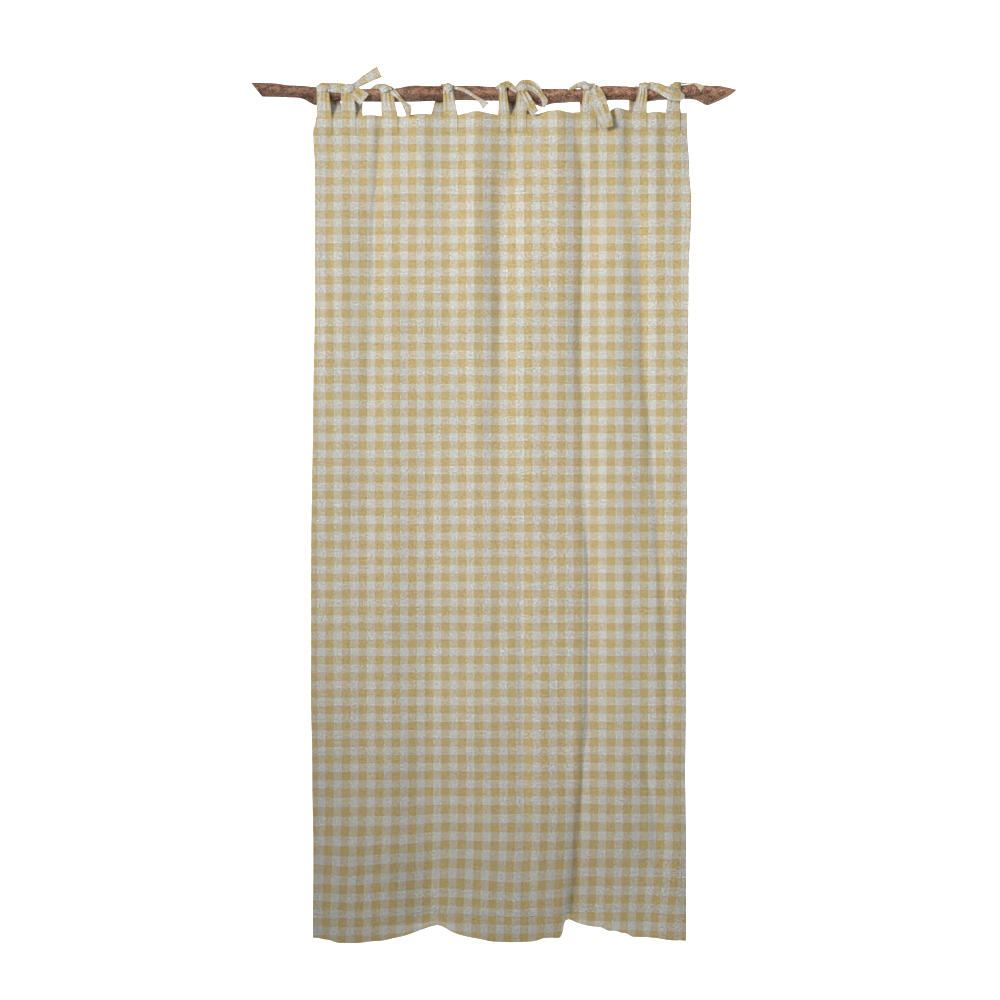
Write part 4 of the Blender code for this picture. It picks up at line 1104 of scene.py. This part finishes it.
class Nodes:
    """A short way to write a material's nodes."""

    def __init__(self, name):
        self.material = bpy.data.materials.new(name)
        self.material.use_nodes = True
        self.tree = self.material.node_tree
        self.shader = self.tree.nodes["Principled BSDF"]

    def feed(self, socket, value):
        if isinstance(value, bpy.types.NodeSocket):
            self.tree.links.new(value, socket)
        else:
            socket.default_value = value

    def add(self, kind, output, settings=None, **inputs):
        node = self.tree.nodes.new(kind)
        for key, value in (settings or {}).items():
            setattr(node, key, value)
        for key, value in inputs.items():
            socket = node.inputs[int(key[1:])] if key[0] == "i" and key[1:].isdigit() else node.inputs[key]
            self.feed(socket, value)
        return node.outputs[output]

    def math(self, operation, first, second=0.0, third=0.0):
        return self.add("ShaderNodeMath", 0, {"operation": operation}, i0=first, i1=second, i2=third)

    def ease(self, value, start, end):
        """0 below start and 1 above end, smooth between."""
        return self.add("ShaderNodeMapRange", 0, {"interpolation_type": "SMOOTHSTEP"},
                        i0=value, i1=start, i2=end, i3=0.0, i4=1.0)

    def mix(self, share, first, second):
        return self.add("ShaderNodeMix", 2, {"data_type": "RGBA", "clamp_factor": True},
                        i0=share, i6=first, i7=second)

    def shade(self, colour, value):
        """The colour times a grey value."""
        return self.add("ShaderNodeVectorMath", 0, {"operation": "SCALE"}, i0=colour, i3=value)

    def uv(self, name):
        place = self.add("ShaderNodeUVMap", 0, {"uv_map": name})
        split = self.tree.nodes.new("ShaderNodeSeparateXYZ")
        self.tree.links.new(place, split.inputs[0])
        return place, split.outputs[0], split.outputs[1]

    def vector(self, x, y, z=0.0):
        return self.add("ShaderNodeCombineXYZ", 0, None, i0=x, i1=y, i2=z)

    def noise(self, place, scale, detail=2.0, dimensions="2D"):
        node = self.tree.nodes.new("ShaderNodeTexNoise")
        node.noise_dimensions = dimensions
        self.feed(node.inputs["Vector"], place)
        node.inputs["Scale"].default_value = scale
        node.inputs["Detail"].default_value = detail
        return node.outputs[0]

    def random(self, value):
        return self.add("ShaderNodeTexWhiteNoise", 0, {"noise_dimensions": "1D"}, W=value)


YELLOW = (0.655, 0.511, 0.239, 1.0)
WHITE = (0.740, 0.737, 0.690, 1.0)
SEAM_SHADE = (0.40, 0.36, 0.28, 1.0)
NUB_DEPTH, NUB_ACROSS, NUB_ALONG = 0.9, 330.0, 200.0


def cloth_material(name, stitched):
    """Gingham in a two-by-two twill: each thread is yellow or white, and slightly uneven."""
    n = Nodes(name)
    _, column, row = n.uv("checks")
    _, u, v = n.uv("cloth")
    in_column = n.ease(n.math("PINGPONG", column, 0.5), 0.262, 0.240)
    in_row = n.ease(n.math("PINGPONG", row, 0.5), 0.262, 0.240)
    warp, weft = n.math("MULTIPLY", column, THREADS), n.math("MULTIPLY", row, THREADS)
    warp_index, weft_index = n.math("FLOOR", warp), n.math("FLOOR", weft)
    step = n.math("FLOORED_MODULO", n.math("ADD", warp_index, weft_index), 4.0)
    over = n.math("LESS_THAN", step, 1.5)
    warp_slub = n.noise(n.vector(n.math("MULTIPLY", warp_index, 7.31), n.math("MULTIPLY", v, 34.0)), 1.0, 2.0)
    weft_slub = n.noise(n.vector(n.math("MULTIPLY", weft_index, 5.17), n.math("MULTIPLY", u, 34.0)), 1.0, 2.0)
    warp_shade = n.math("MULTIPLY_ADD", warp_slub, 0.34, n.math("MULTIPLY_ADD", n.random(warp_index), 0.10, 0.78))
    weft_index_apart = n.math("ADD", weft_index, 501.5)
    weft_shade = n.math("MULTIPLY_ADD", weft_slub, 0.34,
                        n.math("MULTIPLY_ADD", n.random(weft_index_apart), 0.10, 0.78))
    warp_nub = n.noise(n.vector(n.math("MULTIPLY", u, NUB_ACROSS), n.math("MULTIPLY", v, NUB_ALONG)), 1.0, 1.0)
    weft_nub = n.noise(n.vector(n.math("MULTIPLY", u, NUB_ALONG), n.math("MULTIPLY", v, NUB_ACROSS)), 1.0, 1.0)
    nubs = n.math("ADD", warp_nub, weft_nub)
    warp_colour = n.shade(n.mix(in_column, WHITE, YELLOW), warp_shade)
    weft_colour = n.shade(n.mix(in_row, WHITE, YELLOW), weft_shade)
    warp_round = n.math("PINGPONG", warp, 0.5)
    weft_round = n.math("PINGPONG", weft, 0.5)
    warp_high = n.ease(warp_round, 0.0, 0.42)
    weft_high = n.ease(weft_round, 0.0, 0.42)
    high = n.add("ShaderNodeMix", 0, {"data_type": "FLOAT"}, i0=over, i2=weft_high, i3=warp_high)
    colour = n.mix(over, weft_colour, warp_colour)
    # Painted shade: each thread is darker towards its edges, where it dips between its neighbours.
    colour = n.shade(colour, n.math("MULTIPLY_ADD", high, 0.20, 0.84))
    broad = n.noise(n.vector(u, v), 5.0, 3.0)
    colour = n.shade(colour, n.math("MULTIPLY_ADD", broad, 0.14, 0.93))
    colour = n.shade(colour, n.math("MULTIPLY_ADD", nubs, NUB_DEPTH, 1.0 - NUB_DEPTH))
    height = high
    if stitched:
        stitch = None
        lines = (
            (u, SIDE_HEM - 0.0015, v), (u, 2.0 * HALF_WIDTH - SIDE_HEM + 0.0015, v),
            (v, HEADING_HEM - 0.0015, u), (v, DROP - BOTTOM_HEM + 0.0015, u),
        )
        for across, place, along in lines:
            near = n.ease(n.math("ABSOLUTE", n.math("SUBTRACT", across, place)), 0.0008, 0.0004)
            dash = n.math("LESS_THAN", n.math("FRACT", n.math("DIVIDE", along, 0.0034)), 0.72)
            one = n.math("MULTIPLY", near, dash)
            stitch = one if stitch is None else n.math("MAXIMUM", stitch, one)
        colour = n.mix(n.math("MULTIPLY", stitch, 0.8), colour, SEAM_SHADE)
        height = n.math("MULTIPLY_ADD", stitch, 0.9, high)
    bump = n.tree.nodes.new("ShaderNodeBump")
    bump.inputs["Strength"].default_value = 0.55
    bump.inputs["Distance"].default_value = 0.00035
    n.feed(bump.inputs["Height"], height)
    n.feed(n.shader.inputs["Base Color"], colour)
    n.feed(n.shader.inputs["Normal"], bump.outputs[0])
    n.feed(n.shader.inputs["Roughness"], n.math("MULTIPLY_ADD", high, -0.08, 0.95))
    n.shader.inputs["Specular IOR Level"].default_value = 0.25
    n.shader.inputs["Sheen Weight"].default_value = 0.12
    n.shader.inputs["Sheen Roughness"].default_value = 0.5
    return n.material


def bark_material():
    """Peeled reddish bark: blotches, long grain, pale specks and darker pits, with painted light on its top and
    painted shade on its underside.
    """
    n = Nodes("branch_bark")
    place, along, turn = n.uv("bark")
    blotch = n.noise(n.vector(n.math("MULTIPLY", along, 0.5), turn), 95.0, 4.0)
    grain = n.noise(n.vector(n.math("MULTIPLY", along, 0.22), turn), 480.0, 3.0)
    speck = n.noise(n.vector(n.math("MULTIPLY", along, 0.8), turn), 290.0, 2.0)
    patch = n.noise(n.vector(n.math("MULTIPLY", along, 0.35), n.math("ADD", turn, 3.7)), 22.0, 2.0)
    colour = n.mix(n.ease(blotch, 0.36, 0.62), (0.150, 0.068, 0.038, 1.0), (0.400, 0.205, 0.125, 1.0))
    colour = n.mix(n.math("MULTIPLY", n.ease(patch, 0.48, 0.66), 0.6), colour, (0.47, 0.29, 0.200, 1.0))
    colour = n.shade(colour, n.math("MULTIPLY_ADD", grain, 2.0, 0.06))
    colour = n.mix(n.math("MULTIPLY", n.ease(speck, 0.57, 0.68), 0.60), colour, (0.68, 0.46, 0.36, 1.0))
    colour = n.mix(n.math("MULTIPLY", n.ease(speck, 0.42, 0.34), 0.60), colour, (0.060, 0.030, 0.020, 1.0))
    # Painted light and shade: the bark is made paler on its top and darker on its underside, as if lit from
    # above.
    painted_underside_shade = n.ease(turn, 0.000, -0.014)
    over = n.ease(turn, 0.008, 0.022)
    colour = n.shade(colour, n.math("MULTIPLY_ADD", painted_underside_shade, -0.50, n.math("MULTIPLY_ADD", over, 0.60, 0.98)))
    colour = n.shade(colour, n.math("MULTIPLY_ADD", n.ease(along, -0.35, 0.25), 0.35, 1.0))
    bump = n.tree.nodes.new("ShaderNodeBump")
    bump.inputs["Strength"].default_value = 0.7
    bump.inputs["Distance"].default_value = 0.0008
    n.feed(bump.inputs["Height"], n.math("ADD", n.math("MULTIPLY", grain, 0.5), n.math("ADD", blotch, speck)))
    n.feed(n.shader.inputs["Base Color"], colour)
    n.feed(n.shader.inputs["Normal"], bump.outputs[0])
    n.feed(n.shader.inputs["Roughness"], n.math("MULTIPLY_ADD", blotch, 0.25, 0.62))
    n.shader.inputs["Specular IOR Level"].default_value = 0.3
    return n.material


def wood_material():
    """The sawn ends: pale wood with close rings."""
    n = Nodes("sawn_wood")
    place = n.tree.nodes.new("ShaderNodeTexCoord").outputs["Object"]
    stretched = n.add("ShaderNodeVectorMath", 0, {"operation": "MULTIPLY"}, i0=place, i1=(1.0, 6.0, 6.0))
    rings = n.noise(stretched, 90.0, 3.0, "3D")
    colour = n.mix(rings, (0.20, 0.10, 0.055, 1.0), (0.40, 0.24, 0.14, 1.0))
    n.feed(n.shader.inputs["Base Color"], colour)
    n.shader.inputs["Roughness"].default_value = 0.85
    return n.material


# The photo's view, and the light.
CAMERA_DISTANCE, CAMERA_HEIGHT, SHOWN_HALF = 2.8, -1.0528, 1.2965
FLOOR_HEIGHT = -2.42
STAGE_BACK, STAGE_HALF = 3.3, 7.0


def make_camera():
    camera = bpy.data.cameras.new("photo_camera")
    camera.sensor_width = 36.0
    camera.lens = 18.0 / (SHOWN_HALF / CAMERA_DISTANCE)
    camera.clip_end = 60.0
    obj = bpy.data.objects.new("photo_camera", camera)
    obj.location = (0.0, -CAMERA_DISTANCE, CAMERA_HEIGHT)
    obj.rotation_euler = (math.pi / 2.0, 0.0, 0.0)
    bpy.context.scene.collection.objects.link(obj)
    bpy.context.scene.camera = obj


def make_stage():
    """A pale floor that curves up behind the curtain."""
    n = Nodes("pale_stage")
    n.shader.inputs["Base Color"].default_value = (0.90, 0.90, 0.90, 1.0)
    n.shader.inputs["Roughness"].default_value = 0.9
    n.shader.inputs["Specular IOR Level"].default_value = 0.1
    profile = [(-STAGE_HALF, 0.0), (STAGE_BACK - 1.2, 0.0)]
    for step in range(1, 13):
        turn = math.radians(90.0 * step / 12)
        profile.append((STAGE_BACK - 1.2 + 1.2 * math.sin(turn), 1.2 - 1.2 * math.cos(turn)))
    profile.append((STAGE_BACK, 9.0))
    coords = [(side * STAGE_HALF, y, FLOOR_HEIGHT + z) for side in (-1, 1) for y, z in profile]
    count = len(profile)
    faces = [(i, i + count, i + count + 1, i + 1) for i in range(count - 1)]
    mesh = bpy.data.meshes.new("pale_floor")
    mesh.from_pydata(coords, [], faces)
    mesh.shade_smooth()
    mesh.materials.append(n.material)
    floor = bpy.data.objects.new("pale_floor", mesh)
    bpy.context.scene.collection.objects.link(floor)


Light = namedtuple("Light", "name place target size spread watts colour")
LIGHTS = [
    Light("key", (-1.7, -2.3, -0.2), (0.8, 0.0, -0.5), (0.7, 0.7), 90, 17.45, (1.0, 0.990, 0.975)),
    Light("fill", (1.5, -2.3, -0.3), (0.1, 0.0, -0.5), (1.2, 1.2), 130, 5.22, (1.0, 0.995, 0.985)),
    Light("low_fill", (0.0, -2.5, -1.3), (0.0, 0.0, -1.5), (0.5, 0.5), 36, 0.35, (1.0, 0.995, 0.985)),
    Light("wall_wash", (0.0, 1.2, 2.3), (0.0, 3.3, 0.7), (5.8, 0.8), 110, 115.0, (1.0, 1.0, 1.0)),
    Light("low_wash", (0.0, 1.5, -0.9), (0.0, 3.3, -1.1), (5.8, 0.6), 120, 52.0, (1.0, 1.0, 1.0)),
    Light("floor_wash", (0.0, 0.7, -0.6), (0.0, 0.9, -2.42), (5.0, 0.5), 80, 34.0, (1.0, 1.0, 1.0)),
    Light("far_floor_wash", (0.0, 1.5, -0.6), (0.0, 1.8, -2.42), (5.6, 0.5), 80, 15.0, (1.0, 1.0, 1.0)),
]


def area_light(row):
    light = bpy.data.lights.new(row.name, "AREA")
    light.shape = "RECTANGLE"
    light.size, light.size_y = row.size
    light.spread = math.radians(row.spread)
    light.energy = row.watts
    light.color = row.colour
    obj = bpy.data.objects.new(row.name, light)
    obj.location = row.place
    obj.rotation_euler = (Vector(row.target) - Vector(row.place)).to_track_quat("-Z", "Y").to_euler()
    obj.visible_camera = False
    bpy.context.scene.collection.objects.link(obj)


def make_light():
    world = bpy.data.worlds.new("studio")
    bpy.context.scene.world = world
    world.use_nodes = True
    background = world.node_tree.nodes["Background"]
    background.inputs[0].default_value = (1.0, 1.0, 1.0, 1.0)
    background.inputs[1].default_value = 0.18
    for light in LIGHTS:
        area_light(light)
    settings = bpy.context.scene.view_settings
    settings.view_transform = "Standard"
    settings.look = "None"
    settings.exposure = 0.0
    settings.gamma = 1.0


def main():
    collection = bpy.data.collections.new("curtain_looks")
    bpy.context.scene.collection.children.link(collection)
    panel_cloth = cloth_material("gingham_panel_cloth", True)
    tie_cloth = cloth_material("gingham_tie_cloth", False)
    panel, points, u, length = make_panel(panel_cloth, collection)
    grid = (points, u, length)
    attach(panel, "root")
    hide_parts("curtain_panel")
    rod = make_branch(bark_material(), wood_material(), collection)
    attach(rod, "root")
    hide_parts("branch")
    for index, (name, tie) in enumerate(TIES.items()):
        front = make_front_ribbon(name, tie, grid, tie_cloth, collection)
        knot = make_knot(name, tie.knot, tie_cloth, collection, 0.9 + 1.37 * index)
        back = make_back_ribbon(name, tie, grid, tie_cloth, collection)
        for piece in (front, knot, back):
            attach(piece, "root")
        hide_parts(f"{name}_front")
        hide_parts(f"{name}_back")
    make_stage()
    make_light()
    make_camera()


main()
